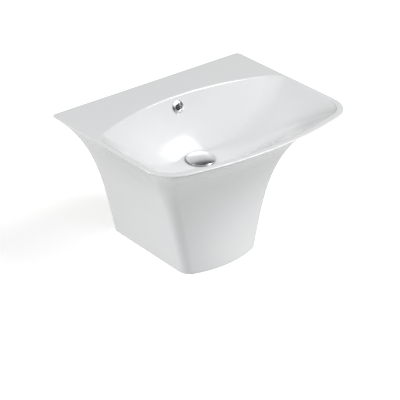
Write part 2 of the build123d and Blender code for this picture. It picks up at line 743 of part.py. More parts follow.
def make_outlet_nut():
    """Nut over the end of the outlet branch, lipped towards the wall."""
    start = BRANCH_END - NECK_NUT + UNION_LIP + UNION_WASHER
    end = start + NECK_NUT
    nut = branch_post(NECK_NUT_RADIUS, start, end)
    nut -= branch_post(NECK_RADIUS + FIT, start - 1, end - UNION_LIP)
    rib = Cylinder(NECK_NUT_RADIUS * 0.06, NECK_NUT,
                   align=(Align.CENTER, Align.CENTER, Align.MIN))
    axis = Pos(0, start, level(BRANCH_DEPTH)) * Rot(-90, 0, 0)
    for turn in range(RIBS):
        nut += axis * Rot(0, 0, turn * 360 / RIBS) * Pos(NECK_NUT_RADIUS, 0, 0) * rib
    return nut - branch_post(PIPE_RADIUS + SEAT_GAP, start, end + 1)


def make_outlet_washer():
    end = BRANCH_END + UNION_WASHER
    washer = branch_post(NECK_RADIUS - FIT, BRANCH_END, end)
    return washer - branch_post(PIPE_RADIUS + FIT, BRANCH_END - 1, end + 1)


def make_outlet_pipe():
    """Straight pipe from the branch, through the open back, into the wall."""
    start = BRANCH_END
    pipe = branch_post(PIPE_RADIUS, start, OUTLET_LENGTH)
    pipe = chamfer(pipe.edges().sort_by(Axis.Y)[-1], OUTLET_CHAMFER)
    mark = branch_post(2 * PIPE_RADIUS, DEPTH_MARK, 2 * DEPTH_MARK)
    pipe -= mark - branch_post(PIPE_RADIUS - DEPTH_MARK_DEEP, 0, 3 * DEPTH_MARK)
    return pipe - branch_post(PIPE_RADIUS - PIPE_WALL, start - 1, OUTLET_LENGTH + 1)


def make_wall_flange():
    """Dished cover plate round the pipe, against the wall."""
    profile = Polyline(
        (PIPE_RADIUS + FIT, 0), (PIPE_RADIUS + FIT, ROSE_REACH),
        (PIPE_RADIUS + ROSE_WALL + FIT, ROSE_REACH), (ROSE_RADIUS, ROSE_WALL),
        (ROSE_RADIUS, 0), (ROSE_RADIUS - ROSE_WALL, 0),
        (PIPE_RADIUS + ROSE_WALL + FIT, ROSE_REACH - 2 * ROSE_WALL),
        (PIPE_RADIUS + ROSE_WALL + FIT, 0), close=True,
    )
    plate = revolve(Plane.XZ * make_face(profile), axis=Axis.Z)
    return Pos(0, 0, level(BRANCH_DEPTH)) * Rot(90, 0, 0) * plate


def at_fixings(shape):
    """The same piece at both wall fixings; its z runs away from the wall."""
    pieces = []
    for x in (-FIXING_SPACING / 2, FIXING_SPACING / 2):
        pieces += (Pos(x, 0, 0) * Rot(90, 0, 0) * shape).solids()
    return Compound(children=pieces)


def washer_shape(radius, hole, low, height):
    """Ring that starts this far from the wall."""
    blank = Cylinder(radius, height, align=(Align.CENTER, Align.CENTER, Align.MIN))
    return Pos(0, 0, low) * (blank - Cylinder(hole, 3 * height))


def make_wall_bolts():
    """Hanger bolts: metric thread inside, wood-screw end with a taper in the wall."""
    length = BOLT_IN_WALL - 2 * SCREW_RADIUS
    foot = (Align.CENTER, Align.CENTER, Align.MIN)
    tip = Cone(SCREW_RADIUS / 3, SCREW_RADIUS, 2 * SCREW_RADIUS, align=foot)
    screw = Cylinder(SCREW_RADIUS, length, align=foot)
    shank = Cylinder(BOLT_RADIUS, BOLT_INSIDE, align=foot)
    bolt = shank + Pos(0, 0, -length) * screw + Pos(0, 0, -BOLT_IN_WALL) * tip
    return at_fixings(bolt)


def make_bolt_sleeves():
    hole = BOLT_RADIUS + FIT
    sleeve = washer_shape(SLEEVE_RADIUS, hole, 0, PANEL)
    return at_fixings(sleeve + washer_shape(SLEEVE_FLANGE_RADIUS, hole, PANEL, SLEEVE_FLANGE))


def make_bolt_washers():
    low = PANEL + SLEEVE_FLANGE
    return at_fixings(washer_shape(WASHER_RADIUS, BOLT_RADIUS + FIT, low, WASHER))


def make_bolt_nuts():
    low = PANEL + SLEEVE_FLANGE + WASHER
    hexagon = RegularPolygon(HEX_FLATS / 2, 6, major_radius=False)
    nut = Pos(0, 0, low) * extrude(hexagon - Circle(BOLT_RADIUS + FIT), amount=HEX_HEIGHT)
    return at_fixings(nut)


MAKERS = {
    "rim_left": make_rim_left,
    "rim_right": make_rim_right,
    "rim_front": make_rim_front,
    "deck": make_deck,
    "bowl_left": make_bowl_left,
    "bowl_right": make_bowl_right,
    "bowl_floor": make_bowl_floor,
    "overflow_duct": make_overflow_duct,
    "back_panel": make_back_panel,
    "pedestal_left": make_pedestal_left,
    "pedestal_right": make_pedestal_right,
    "pedestal_front_left": make_pedestal_front_left,
    "pedestal_front_right": make_pedestal_front_right,
    "overflow_ring": make_overflow_ring,
    "drain_cap": make_drain_cap,
    "cap_seal": make_cap_seal,
    "plunger": make_plunger,
    "cartridge": make_cartridge,
    "cartridge_spring": make_cartridge_spring,
    "waste_body": make_waste_body,
    "flange_seal": make_flange_seal,
    "tail_seal": make_tail_seal,
    "tail_washer": make_tail_washer,
    "tail_nut": make_tail_nut,
    "union_nut": make_union_nut,
    "union_washer": make_union_washer,
    "inlet_pipe": make_inlet_pipe,
    "neck_nut": make_neck_nut,
    "neck_washer": make_neck_washer,
    "trap_body": make_trap_body,
    "trap_cup": make_trap_cup,
    "cup_seal": make_cup_seal,
    "outlet_nut": make_outlet_nut,
    "outlet_washer": make_outlet_washer,
    "outlet_pipe": make_outlet_pipe,
    "wall_flange": make_wall_flange,
    "wall_bolts": make_wall_bolts,
    "bolt_sleeves": make_bolt_sleeves,
    "bolt_washers": make_bolt_washers,
    "bolt_nuts": make_bolt_nuts,
}


def main():
    os.makedirs("parts", exist_ok=True)
    for node, maker in MAKERS.items():
        export_step(maker(), f"parts/{node}.step")


main()
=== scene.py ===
import math

import bpy
import numpy as np
from bpy.props import FloatProperty, FloatVectorProperty, PointerProperty
from mathutils import Matrix, Vector


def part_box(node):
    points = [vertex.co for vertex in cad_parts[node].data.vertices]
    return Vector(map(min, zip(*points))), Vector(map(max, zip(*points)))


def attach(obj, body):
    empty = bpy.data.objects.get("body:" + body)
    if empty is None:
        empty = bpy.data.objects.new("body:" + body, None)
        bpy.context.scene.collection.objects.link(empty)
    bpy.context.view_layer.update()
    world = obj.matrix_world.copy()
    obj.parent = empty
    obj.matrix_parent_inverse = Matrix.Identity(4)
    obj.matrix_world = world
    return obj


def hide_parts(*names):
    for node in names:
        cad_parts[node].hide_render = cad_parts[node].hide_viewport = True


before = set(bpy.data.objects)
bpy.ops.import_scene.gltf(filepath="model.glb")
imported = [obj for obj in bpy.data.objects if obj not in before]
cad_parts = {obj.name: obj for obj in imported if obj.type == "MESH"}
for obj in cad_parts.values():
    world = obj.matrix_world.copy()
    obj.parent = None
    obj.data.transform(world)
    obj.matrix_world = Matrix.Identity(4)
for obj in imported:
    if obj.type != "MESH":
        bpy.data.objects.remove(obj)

bl_info = {
    "name": "Half-pedestal wash basin",
    "version": (1, 0, 0),
    "blender": (4, 5, 0),
    "location": "View3D > Sidebar > Basin",
    "description": "Builds the china, fittings and finishes of a wall-hung basin",
    "category": "Add Mesh",
}

CHINA_NODES = (
    "rim_left", "rim_right", "rim_front", "deck", "bowl_left", "bowl_right",
    "bowl_floor", "overflow_duct", "back_panel", "pedestal_left", "pedestal_right",
    "pedestal_front_left", "pedestal_front_right",
)
CHINA_CORNERS = [corner for node in CHINA_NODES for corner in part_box(node)]

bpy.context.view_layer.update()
CHINA_LOW = Vector([min(c[i] for c in CHINA_CORNERS) for i in range(3)])
CHINA_HIGH = Vector([max(c[i] for c in CHINA_CORNERS) for i in range(3)])
RIM_Z = CHINA_HIGH.z
FOOT_Z = CHINA_LOW.z
CAP_LOW, CAP_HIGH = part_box("drain_cap")
DRAIN = (CAP_LOW + CAP_HIGH) / 2
BOLT_LOW, BOLT_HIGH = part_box("wall_bolts")
PIPE_LOW, PIPE_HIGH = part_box("outlet_pipe")


def mm(value):
    return value / 1000


BOLT_RADIUS = mm(5)
BOLT_X = BOLT_HIGH.x - BOLT_RADIUS
HAIR = mm(0.1)                # keeps cutting tools off each other's faces


# ---------------------------------------------------------------- sizes and colours


def length(name, description, default):
    return FloatProperty(name=name, description=description, default=default,
                         precision=4, unit="LENGTH", subtype="DISTANCE")


def colour(name, description, default):
    return FloatVectorProperty(name=name, description=description, default=default,
                               size=3, min=0, max=1, subtype="COLOR")


class ChinaSizes(bpy.types.PropertyGroup):
    """Sizes of the basin and its half pedestal."""

    width: length("Width", "Across the rim", CHINA_HIGH.x - CHINA_LOW.x)
    depth: length("Depth", "Wall to the front of the rim", CHINA_HIGH.y - CHINA_LOW.y)
    height: length("Height", "Rim to foot", RIM_Z - FOOT_Z)
    foot_width: length("Foot width", "Across the foot", mm(222))
    foot_depth: length("Foot depth", "Wall to the front of the foot", mm(297.5))
    rim_bow: length("Rim bow", "How far the front of the rim bows out", mm(43))
    foot_bow: length("Foot bow", "How far the front of the foot bows out", mm(25.5))
    rim_corner: length("Rim corners", "Front corner radius of the rim", mm(76))
    foot_corner: length("Foot corners", "Front corner radius of the foot", mm(32))
    back_corner: length("Back corners", "Corner radius against the wall", mm(12))
    lip: length("Lip", "Height of the rim's upright edge", mm(3))
    lip_round: length("Lip rounding", "Radius over the lip", mm(2.4))
    lip_turn: length("Lip turn", "Depth of the turn from the lip into the sweep", mm(1.6))
    foot_round: length("Foot rounding", "Radius under the foot", mm(1.5))
    skin: length("Skin", "Wall of the half pedestal at the foot", mm(11))
    skin_gain: length("Skin gain", "What the wall gains up to the rim", mm(7))
    panel: length("Back panel", "Thickness of the panel on the wall", mm(14))
    panel_depth: length("Panel depth", "How far down the panel reaches", mm(165))


class BowlSizes(bpy.types.PropertyGroup):
    """Sizes of the bowl, the drain and the overflow channel."""

    rim_side: length("Rim beside", "Width of the rim beside the bowl", mm(15))
    rim_front: length("Rim in front", "Width of the rim in front", mm(17))
    deck: length("Deck", "Wall to the bowl, on the middle plane", mm(99))
    arch: length("Arch", "How far the bowl's back edge arches back", mm(62))
    depth: length("Bowl depth", "Rim to the floor of the bowl", mm(128))
    back_corner: length("Back corners", "Radius of the bowl's back corners", mm(45))
    front_corner: length("Front corners", "Radius of its front corners", mm(62))
    lean: FloatProperty(name="Back lean", description="Lean of the bowl's back wall",
                        default=math.radians(25), unit="ROTATION", subtype="ANGLE")
    dish: FloatProperty(name="Dish", description="How late the sides turn into the floor",
                        default=3.0, min=1, max=20)
    back_dish: FloatProperty(name="Back dish", default=12.0, min=1, max=40,
                             description="How late the back wall turns into the floor")
    deck_edge: length("Deck edge", "Rounding between deck and bowl", mm(2.5))
    rim_edge: length("Rim edge", "Rounding between rim and bowl", mm(6))
    seat: length("Seat", "Half width of the flat round the drain", mm(36))
    seat_corner: length("Seat corners", "Corner radius of that flat", mm(33))
    seat_bow: length("Seat bow", "Bow of that flat's edges", mm(3))
    hole: length("Drain hole", "Radius of the drain hole", mm(23))
    recess: length("Recess", "Radius of the recess for the waste", mm(33))
    recess_depth: length("Recess depth", "Depth of that recess", mm(2))
    wall: length("Wall", "Thickness of the bowl and the deck", mm(12))
    boss: length("Boss", "Radius of the boss under the drain", mm(40))
    boss_height: length("Boss height", "Bowl's floor to the foot of the boss", mm(38))
    duct_width: length("Duct width", "Inside of the overflow channel", mm(34))
    duct_reach: length("Duct reach", "Inside of the channel, front to back", mm(13))
    duct_wall: length("Duct wall", "China round the channel", mm(8))
    overflow: length("Overflow", "Centre of the overflow, below the rim", mm(24.5))
    overflow_bore: length("Overflow bore", "Radius of the overflow hole", mm(11))


class FittingSizes(bpy.types.PropertyGroup):
    """Sizes of the fittings that are modelled in fine detail."""

    ring: length("Ring", "Radius of the overflow ring", mm(16.2))
    ring_hole: length("Ring hole", "Radius of its hole", mm(6.8))
    ring_proud: length("Ring height", "Thickness of the ring", mm(3.2))
    ring_seat: length("Ring seat", "How deep the ring sits in the china", mm(0.5))
    ring_play: length("Ring play", "Gap between the ring and its seat", mm(0.3))
    ring_spigot: length("Ring spigot", "Length of the part in the china", mm(12))
    cap_edge: length("Cap edge", "Thickness of the drain cap's edge", mm(1.6))
    cap_rise: length("Cap rise", "Height of its dome", mm(3.6))
    thread_pitch: length("Wall thread", "Pitch of the bolt's thread in the wall", mm(4))
    metric_pitch: length("Metric thread", "Pitch of its thread in the china", mm(1.5))


class FinishColours(bpy.types.PropertyGroup):
    """Colours of the finishes."""

    glaze: colour("Glaze", "White glaze", (0.795, 0.80, 0.805))
    bisque: colour("Bisque", "Unglazed china at the foot and the back", (0.78, 0.75, 0.69))
    chrome: colour("Chrome", "Bright plate", (0.88, 0.885, 0.895))
    brass: colour("Brass", "Bare turned brass", (0.72, 0.52, 0.22))
    zinc: colour("Zinc", "Zinc-plated steel", (0.62, 0.64, 0.66))
    spring: colour("Spring wire", "Stainless wire", (0.52, 0.53, 0.55))
    rubber: colour("Rubber", "Black seals", (0.018, 0.018, 0.02))
    white: colour("White plastic", "Trap and pipe", (0.78, 0.78, 0.76))
    grey: colour("Grey plastic", "Sleeves and washers", (0.30, 0.31, 0.32))


class StudioSettings(bpy.types.PropertyGroup):
    """Camera, lamps and floor."""

    azimuth: FloatProperty(name="Azimuth", description="Camera round the basin",
                           default=math.radians(-40.16), subtype="ANGLE")
    elevation: FloatProperty(name="Elevation", description="Camera above the level",
                             default=math.radians(29.18), subtype="ANGLE")
    roll: FloatProperty(name="Roll", description="Camera's tilt about its own axis",
                        default=math.radians(0.54), subtype="ANGLE")
    distance: length("Distance", "Camera to the point it looks at", 3.549)
    aim: FloatVectorProperty(name="Aim", description="Point the camera looks at",
                             default=(-0.0492, -0.2511, -0.0975), subtype="XYZ")
    lens: FloatProperty(name="Lens", description="Focal length in mm on a 36 mm sensor",
                        default=139.2, min=20, max=400)
    floor: colour("Floor", "Pale floor", (0.95, 0.95, 0.95))
    glow: FloatProperty(name="Floor glow", description="Light that the pale floor adds",
                        default=0.45, min=0, max=2)
    bounce: FloatProperty(name="Floor bounce", default=0.32, min=0, max=1,
                          description="Share of its light that the floor passes on")
    world: FloatProperty(name="Room light", description="Even light from all round",
                         default=0.08, min=0, max=5)
    key: FloatProperty(name="Key lamp", description="Power of the large front lamp",
                       default=370, min=0, max=2000, unit="POWER")
    fill: FloatProperty(name="Fill lamp", description="Power of the side lamp",
                        default=255, min=0, max=2000, unit="POWER")


# ---------------------------------------------------------------- mesh helpers


def mesh_object(name, verts, faces):
    mesh = bpy.data.meshes.new(name)
    mesh.from_pydata([tuple(map(float, v)) for v in verts], [], faces)
    mesh.validate()
    mesh.update()
    made = bpy.data.objects.new(name, mesh)
    bpy.context.scene.collection.objects.link(made)
    return made


def ring_faces(count, rings, wrap):
    """Quads between rings of points; wrap also joins the last ring to the first."""
    faces = []
    for r in range(rings if wrap else rings - 1):
        low = r * count
        high = ((r + 1) % rings) * count
        for i in range(count):
            j = (i + 1) % count
            faces.append((low + i, low + j, high + j, high + i))
    return faces


def skinned(name, rings, wrap=False):
    """Closed mesh through rings of points: a torus if wrapped, else capped at its ends."""
    count = len(rings[0])
    faces = ring_faces(count, len(rings), wrap)
    if not wrap:
        last = (len(rings) - 1) * count
        faces.append(tuple(range(count))[::-1])
        faces.append(tuple(range(last, last + count)))
    return outward(mesh_object(name, np.concatenate(rings), faces))


def outward(piece):
    """Turns the faces so that a closed piece has a positive volume."""
    mesh = piece.data
    co = np.array([v.co for v in mesh.vertices])
    volume = 0.0
    for face in mesh.polygons:
        corners = co[list(face.vertices)]
        for a, b in zip(corners[1:-1], corners[2:]):
            volume += np.dot(corners[0], np.cross(a, b))
    if volume < 0:
        mesh.flip_normals()
    return piece


def block(name, low, high):
    low, high = np.array(low), np.array(high)
    ring = np.array([(0, 0), (1, 0), (1, 1), (0, 1)], float)
    rings = []
    for z in (low[2], high[2]):
        flat = low[:2] + ring * (high - low)[:2]
        rings.append(np.column_stack([flat, np.full(4, z)]))
    return skinned(name, rings)


def combine(piece, tool, operation):
    """Adds or cuts a tool and removes it."""
    step = piece.modifiers.new("combine", "BOOLEAN")
    step.operation = operation
    step.solver = "EXACT"
    step.object = tool
    apply_modifiers(piece)
    bpy.data.objects.remove(tool)


def apply_modifiers(piece):
    graph = bpy.context.evaluated_depsgraph_get()
    mesh = bpy.data.meshes.new_from_object(piece.evaluated_get(graph))
    piece.modifiers.clear()
    old = piece.data
    piece.data = mesh
    bpy.data.meshes.remove(old)


def smooth(piece, angle=32):
    piece.data.shade_smooth()
    piece.data.set_sharp_from_angle(angle=math.radians(angle))
    return piece


def soften(profile, radius, steps=4):
    """Rounds every corner of a closed outline of (radius, height) points."""
    points = [Vector(p) for p in profile]
    out = []
    for i, corner in enumerate(points):
        before = points[i - 1] - corner
        after = points[(i + 1) % len(points)] - corner
        reach = min(radius, 0.45 * before.length, 0.45 * after.length)
        start = corner + before.normalized() * reach
        end = corner + after.normalized() * reach
        for k in range(steps + 1):
            t = k / steps
            out.append((1 - t) ** 2 * start + 2 * t * (1 - t) * corner + t * t * end)
    return out


def turned(name, profile, place, soft, count=96):
    """Lathe piece: a closed outline of (radius, height) points turned about place's z."""
    angles = np.linspace(0, 2 * math.pi, count, endpoint=False)
    circle = np.column_stack([np.cos(angles), np.sin(angles)])
    rings = []
    for point in soften(profile, soft):
        rings.append(np.column_stack([circle * point[0], np.full(count, point[1])]))
    piece = skinned(name, rings, wrap=True)
    piece.data.transform(place)
    return smooth(piece)


def facing_front(x, y, z):
    """Place whose own z points out of the wall."""
    return Matrix.Translation((x, y, z)) @ Matrix.Rotation(math.pi / 2, 4, "X")


def settle(piece, body, slot, material, *nodes):
    """Gives a piece its finish, its body and the CAD nodes it stands for."""
    if material:
        piece.data.materials.clear()
        piece.data.materials.append(material)
    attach(piece, body)
    if nodes:
        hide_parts(*nodes)
    return piece


def capped(name, rings, soft=32):
    """Closed mesh through rings of points, with flat ends."""
    return smooth(skinned(name, rings), soft)


def circle(radius, height, count=96):
    """Ring of points; radius may be one number or one for each point."""
    angles = np.linspace(0, 2 * math.pi, count, endpoint=False)
    return np.column_stack([radius * np.cos(angles), radius * np.sin(angles),
                            np.full(count, height)])


def rod(name, radius, low, high, place=None, count=96):
    """Plain round bar along z, then put in its place."""
    bar = skinned(name, [circle(radius, low, count), circle(radius, high, count)])
    if place:
        bar.data.transform(place)
    return bar


def joined(name, pieces):
    """One object from several closed meshes that stay apart."""
    verts, faces, start = [], [], 0
    for piece in pieces:
        verts += [v.co[:] for v in piece.data.vertices]
        faces += [tuple(start + i for i in f.vertices) for f in piece.data.polygons]
        start = len(verts)
        bpy.data.objects.remove(piece)
    return mesh_object(name, verts, faces)


# ---------------------------------------------------------------- outlines of the china


def arc(center, radius, start, end, steps):
    """Points along an arc, leaving out its last one; radius may be any size."""
    turn = np.linspace(start, end, steps, endpoint=False)
    return np.column_stack([center[0] + radius * np.cos(turn),
                            center[1] + radius * np.sin(turn)])


def straight(start, end, steps):
    share = np.linspace(0, 1, steps, endpoint=False)[:, None]
    return np.array(start) * (1 - share) + np.array(end) * share


SIDE_STEPS, CORNER_STEPS, BACK_STEPS, FRONT_STEPS = 34, 18, 56, 60
LIP_STEPS, SKIN_STEPS, CAVITY_STEPS, BOWL_STEPS = 7, 54, 44, 54
SIDE_SWEEP = ((1, 0.45), (2, 0.08), (4, 0.47))     # power and share of each term
FRONT_SWEEP = 4.1
ROUND_START = 2 / 3            # bunches rings where the walls turn into the floor


def plan(half, back, arch, back_corner, front, bow, front_corner):
    """Closed outline seen from above: straight sides, bowed front, flat or arched back."""
    front_radius = (half ** 2 + bow ** 2) / (2 * bow)
    front_center = front + front_radius
    inner = half - front_corner
    corner_y = front_center - math.sqrt((front_radius - front_corner) ** 2 - inner ** 2)
    front_turn = math.atan2(front_center - corner_y, inner)
    back_inner = half - back_corner
    quarter = math.pi / 2
    if arch > 1e-6:
        back_radius = (half ** 2 + arch ** 2) / (2 * arch)
        back_center = back - back_radius
        back_y = back_center + math.sqrt((back_radius - back_corner) ** 2 - back_inner ** 2)
        turn = math.atan2(back_y - back_center, back_inner)
        edge = arc((0, back_center), back_radius, turn, math.pi - turn, BACK_STEPS)
    else:
        back_y = back - back_corner
        turn = quarter
        edge = straight((back_inner, back), (-back_inner, back), BACK_STEPS)
    return np.concatenate([
        straight((half, corner_y), (half, back_y), SIDE_STEPS),
        arc((back_inner, back_y), back_corner, 0, turn, CORNER_STEPS),
        edge,
        arc((-back_inner, back_y), back_corner, math.pi - turn, math.pi, CORNER_STEPS),
        straight((-half, back_y), (-half, corner_y), SIDE_STEPS),
        arc((-inner, corner_y), front_corner, math.pi, math.pi + front_turn, CORNER_STEPS),
        arc((0, front_center), front_radius, math.pi + front_turn,
            2 * math.pi - front_turn, FRONT_STEPS),
        arc((inner, corner_y), front_corner, 2 * math.pi - front_turn,
            2 * math.pi, CORNER_STEPS),
    ])


def away(points):
    """Outward direction at each point of an outline that runs anticlockwise."""
    along = np.roll(points, -1, axis=0) - np.roll(points, 1, axis=0)
    out = np.column_stack([along[:, 1], -along[:, 0]])
    return out / np.linalg.norm(out, axis=1)[:, None]


def raised(points, depth):
    """Outline points at a depth below the rim."""
    return np.column_stack([points, np.full(len(points), RIM_Z - depth)])


def between(low, high, share):
    return low + (high - low) * share


class ChinaShape:
    """Outlines of the casting at any depth below the rim."""

    def __init__(self, china, bowl):
        self.china = china
        self.bowl = bowl
        run = bowl.depth * math.tan(bowl.lean)
        self.drain_y = -bowl.deck - run - bowl.seat

    def rise(self, depth):
        below = self.china.height - self.china.lip
        return 1 - max(depth - self.china.lip, 0) / below

    def side_share(self, depth):
        rise = max(self.rise(depth), 0)
        return sum(share * rise ** power for power, share in SIDE_SWEEP)

    def front_share(self, depth):
        return max(self.rise(depth), 0) ** FRONT_SWEEP

    def half_width(self, depth):
        china = self.china
        return between(china.foot_width, china.width, self.side_share(depth)) / 2

    def front_line(self, depth):
        china = self.china
        return -between(china.foot_depth, china.depth, self.front_share(depth))

    def skin(self, depth, inset=0.0, back=0.0):
        """Outside of the casting, or a line that far inside it."""
        china = self.china
        share = self.front_share(depth)
        bow = between(china.foot_bow, china.rim_bow, share)
        corner = between(china.foot_corner, china.rim_corner, share)
        return plan(self.half_width(depth) - inset, back, 0, china.back_corner,
                    self.front_line(depth) + inset, bow, corner - inset)

    def back_line(self, depth):
        return -self.bowl.deck - depth * math.tan(self.bowl.lean)

    def hollow(self, fall, grow=0.0):
        """Inside of the bowl, or the outside of its wall, with its depth."""
        bowl = self.bowl
        depth = fall * (bowl.depth + grow)
        dish = math.sqrt(max(1 - fall ** bowl.dish, 0))
        wall = math.sqrt(max(1 - fall ** bowl.back_dish, 0))
        side = min(depth, bowl.depth)
        half = between(bowl.seat, self.half_width(side) - bowl.rim_side, dish) + grow
        front = self.front_line(side) + bowl.rim_front
        front = between(self.drain_y - bowl.seat, front, dish) - grow
        back = between(self.drain_y + bowl.seat, self.back_line(side), wall) + grow
        shape = plan(half, back, between(bowl.seat_bow, bowl.arch, dish),
                     between(bowl.seat_corner, bowl.back_corner, dish) + grow,
                     front, between(bowl.seat_bow, self.china.rim_bow, dish),
                     between(bowl.seat_corner, bowl.front_corner, dish) + grow)
        return shape, depth

    def drain_ring(self, radius, guide):
        """Circle round the drain whose points face those of a wider outline."""
        center = np.array([0, self.drain_y])
        ray = guide - center
        return center + ray / np.linalg.norm(ray, axis=1)[:, None] * radius


def edge_radii(shape):
    """Rounding between the bowl and the rim: small along the deck, larger elsewhere."""
    bowl = shape.bowl
    points, _ = shape.hollow(0)
    share = np.clip((away(points)[:, 1] - 0.1) / 0.7, 0, 1)
    share = share * share * (3 - 2 * share)
    return between(bowl.rim_edge, bowl.deck_edge, share)


def bowl_rings(shape):
    """Rings from the drain hole up the bowl to the middle of its rounded edge."""
    bowl = shape.bowl
    floor = bowl.depth
    seat, _ = shape.hollow(1)
    rings = []
    for radius, depth in (
        (bowl.hole, shape.china.height), (bowl.hole, floor + bowl.recess_depth + mm(1)),
        (bowl.hole + mm(0.6), floor + bowl.recess_depth),
        (bowl.recess - mm(0.5), floor + bowl.recess_depth),
        (bowl.recess, floor + bowl.recess_depth - mm(0.5)),
        (bowl.recess, floor + mm(0.4)), (bowl.recess + mm(0.6), floor),
    ):
        rings.append(raised(shape.drain_ring(radius, seat), depth))
    edge = edge_radii(shape)[:, None]
    for step in range(BOWL_STEPS):
        share = math.sin(0.5 * math.pi * (1 - step / BOWL_STEPS)) ** ROUND_START
        points, depth = shape.hollow(share)
        if depth > bowl.rim_edge * 1.2:
            rings.append(raised(points, depth))
    for tilt in np.linspace(0, math.pi / 2, 9):
        depth = bowl.rim_edge * (1 - math.sin(tilt))
        points, _ = shape.hollow(depth / bowl.depth)
        inside = np.clip(edge - depth, 0, None)
        spread = edge - np.sqrt(np.clip(edge ** 2 - inside ** 2, 0, None))
        rings.append(raised(points + away(points) * spread, depth))
    return rings


def skin_rings(shape):
    """Rings from the rim over the lip, down the outside and under the foot."""
    china = shape.china
    rings = []
    for tilt in np.linspace(0, math.pi / 2, LIP_STEPS):
        inset = china.lip_round * (1 - math.sin(tilt))
        depth = china.lip_round * (1 - math.cos(tilt))
        points = shape.skin(0)
        rings.append(raised(points - away(points) * inset, depth))
    upper, corner, lower = [raised(shape.skin(depth), depth) for depth in (
        china.lip - mm(0.55), china.lip, china.lip + china.lip_turn)]
    for t in np.linspace(0, 1, LIP_STEPS):
        rings.append((1 - t) ** 2 * upper + 2 * t * (1 - t) * corner + t * t * lower)
    top = china.lip + china.lip_turn
    below = china.height - top - china.foot_round
    for share in np.linspace(0, 1, SKIN_STEPS)[1:]:
        depth = top + below * share ** 1.4
        rings.append(raised(shape.skin(depth), depth))
    for tilt in np.linspace(0, math.pi / 2, 6)[1:]:
        depth = china.height - china.foot_round * (1 - math.sin(tilt))
        points = shape.skin(depth)
        inset = china.foot_round * (1 - math.cos(tilt))
        rings.append(raised(points - away(points) * inset, depth))
    return rings


def casting(shape):
    """The outside, the bowl and the drain hole, solid between them."""
    bowl, skin = bowl_rings(shape), skin_rings(shape)
    flat = [between(bowl[-1], skin[0], share) for share in (0.04, 0.35, 0.7, 0.96)]
    return skinned("China", bowl + flat + skin, wrap=True)


def leaning_prism(name, shape, near, far, width, top, bottom):
    """Bar parallel to the bowl's back wall."""
    rings = []
    for x in (-width / 2, width / 2):
        ring = []
        for depth, reach in ((top, near), (top, far), (bottom, far), (bottom, near)):
            ring.append((x, shape.back_line(depth) + reach, RIM_Z - depth))
        rings.append(np.array(ring))
    return skinned(name, rings)


def drain_post(name, shape, radius, top, bottom):
    place = Matrix.Translation((0, shape.drain_y, 0))
    return rod(name, radius, RIM_Z - top, RIM_Z - bottom, place)


def cavity(shape):
    """Open space inside the half pedestal, round the bowl and its overflow channel."""
    china, bowl = shape.china, shape.bowl
    rings = []
    foot = china.height + mm(5)
    for share in np.linspace(0, 1, CAVITY_STEPS):
        depth = between(bowl.wall, foot, share ** 1.3)
        inset = china.skin + china.skin_gain * shape.side_share(depth)
        rings.append(raised(shape.skin(min(depth, china.height), inset, -china.panel), depth))
    space = skinned("Cavity", rings)
    half = china.foot_width / 2 - china.skin
    combine(space, block("Back", (-half, -china.panel - china.back_corner, RIM_Z - foot),
                         (half, mm(5), RIM_Z - china.panel_depth)), "UNION")
    falls = np.sin(0.5 * math.pi * np.linspace(0, 1, 40)) ** ROUND_START
    jacket = [raised(*shape.hollow(fall, bowl.wall)) for fall in falls]
    above = jacket[0] + np.array([0, 0, mm(4)])
    combine(space, skinned("Jacket", [above] + jacket), "DIFFERENCE")
    boss_foot = bowl.depth + bowl.boss_height
    combine(space, drain_post("Boss", shape, bowl.boss, bowl.depth, boss_foot), "DIFFERENCE")
    far = bowl.wall + bowl.duct_reach + bowl.duct_wall
    width = bowl.duct_width + 2 * bowl.duct_wall
    combine(space, leaning_prism("Duct", shape, 0, far, width, bowl.wall / 2,
                                 boss_foot - 2 * HAIR), "DIFFERENCE")
    foot_block = block("Duct foot", (-width / 2, shape.drain_y, RIM_Z - boss_foot + HAIR),
                       (width / 2, shape.back_line(boss_foot) + far - HAIR,
                        RIM_Z - bowl.depth))
    combine(space, foot_block, "DIFFERENCE")
    return space


def overflow_frame(shape):
    """Place on the bowl's back wall; z points out of the wall, into the bowl."""
    depth = shape.bowl.overflow
    tilt = Matrix.Rotation(math.pi / 2 - shape.bowl.lean, 4, "X")
    return Matrix.Translation((0, shape.back_line(depth), RIM_Z - depth)) @ tilt


def overflow_tools(shape, fittings):
    """Overflow channel with its hole and the seat of the ring."""
    bowl = shape.bowl
    low = bowl.depth + bowl.recess_depth + bowl.boss_height / 2 + mm(5)
    far = bowl.wall + bowl.duct_reach
    channel = leaning_prism("Channel", shape, bowl.wall, far, bowl.duct_width,
                            bowl.wall, low)
    passage = block("Passage", (-mm(14), shape.drain_y, RIM_Z - low + HAIR),
                    (mm(14), shape.back_line(low) + far - HAIR, RIM_Z - low + mm(12)))
    combine(channel, passage, "UNION")
    place = overflow_frame(shape)
    combine(channel, rod("Bore", bowl.overflow_bore, -mm(24), mm(6), place), "UNION")
    seat = fittings.ring + fittings.ring_play
    combine(channel, rod("Ring seat", seat, -fittings.ring_seat, mm(7), place), "UNION")
    return channel


def mark_bisque(piece, bisque):
    """Leaves the back and the foot unglazed, as well as the inside."""
    if bisque.name not in piece.data.materials:
        piece.data.materials.append(bisque)
    index = piece.data.materials.find(bisque.name)
    for face in piece.data.polygons:
        at_back = face.normal.y > 0.98 and face.center.y > -mm(0.5)
        at_foot = face.normal.z < -0.98 and face.center.z < FOOT_Z + mm(0.5)
        if at_back or at_foot:
            face.material_index = index


# ---------------------------------------------------------------- node helpers


def new_material(name, colour_value):
    material = bpy.data.materials.new(name)
    material.use_nodes = True
    material.diffuse_color = (*colour_value, 1)
    return material, material.node_tree


def shader_of(tree):
    return tree.nodes["Principled BSDF"]


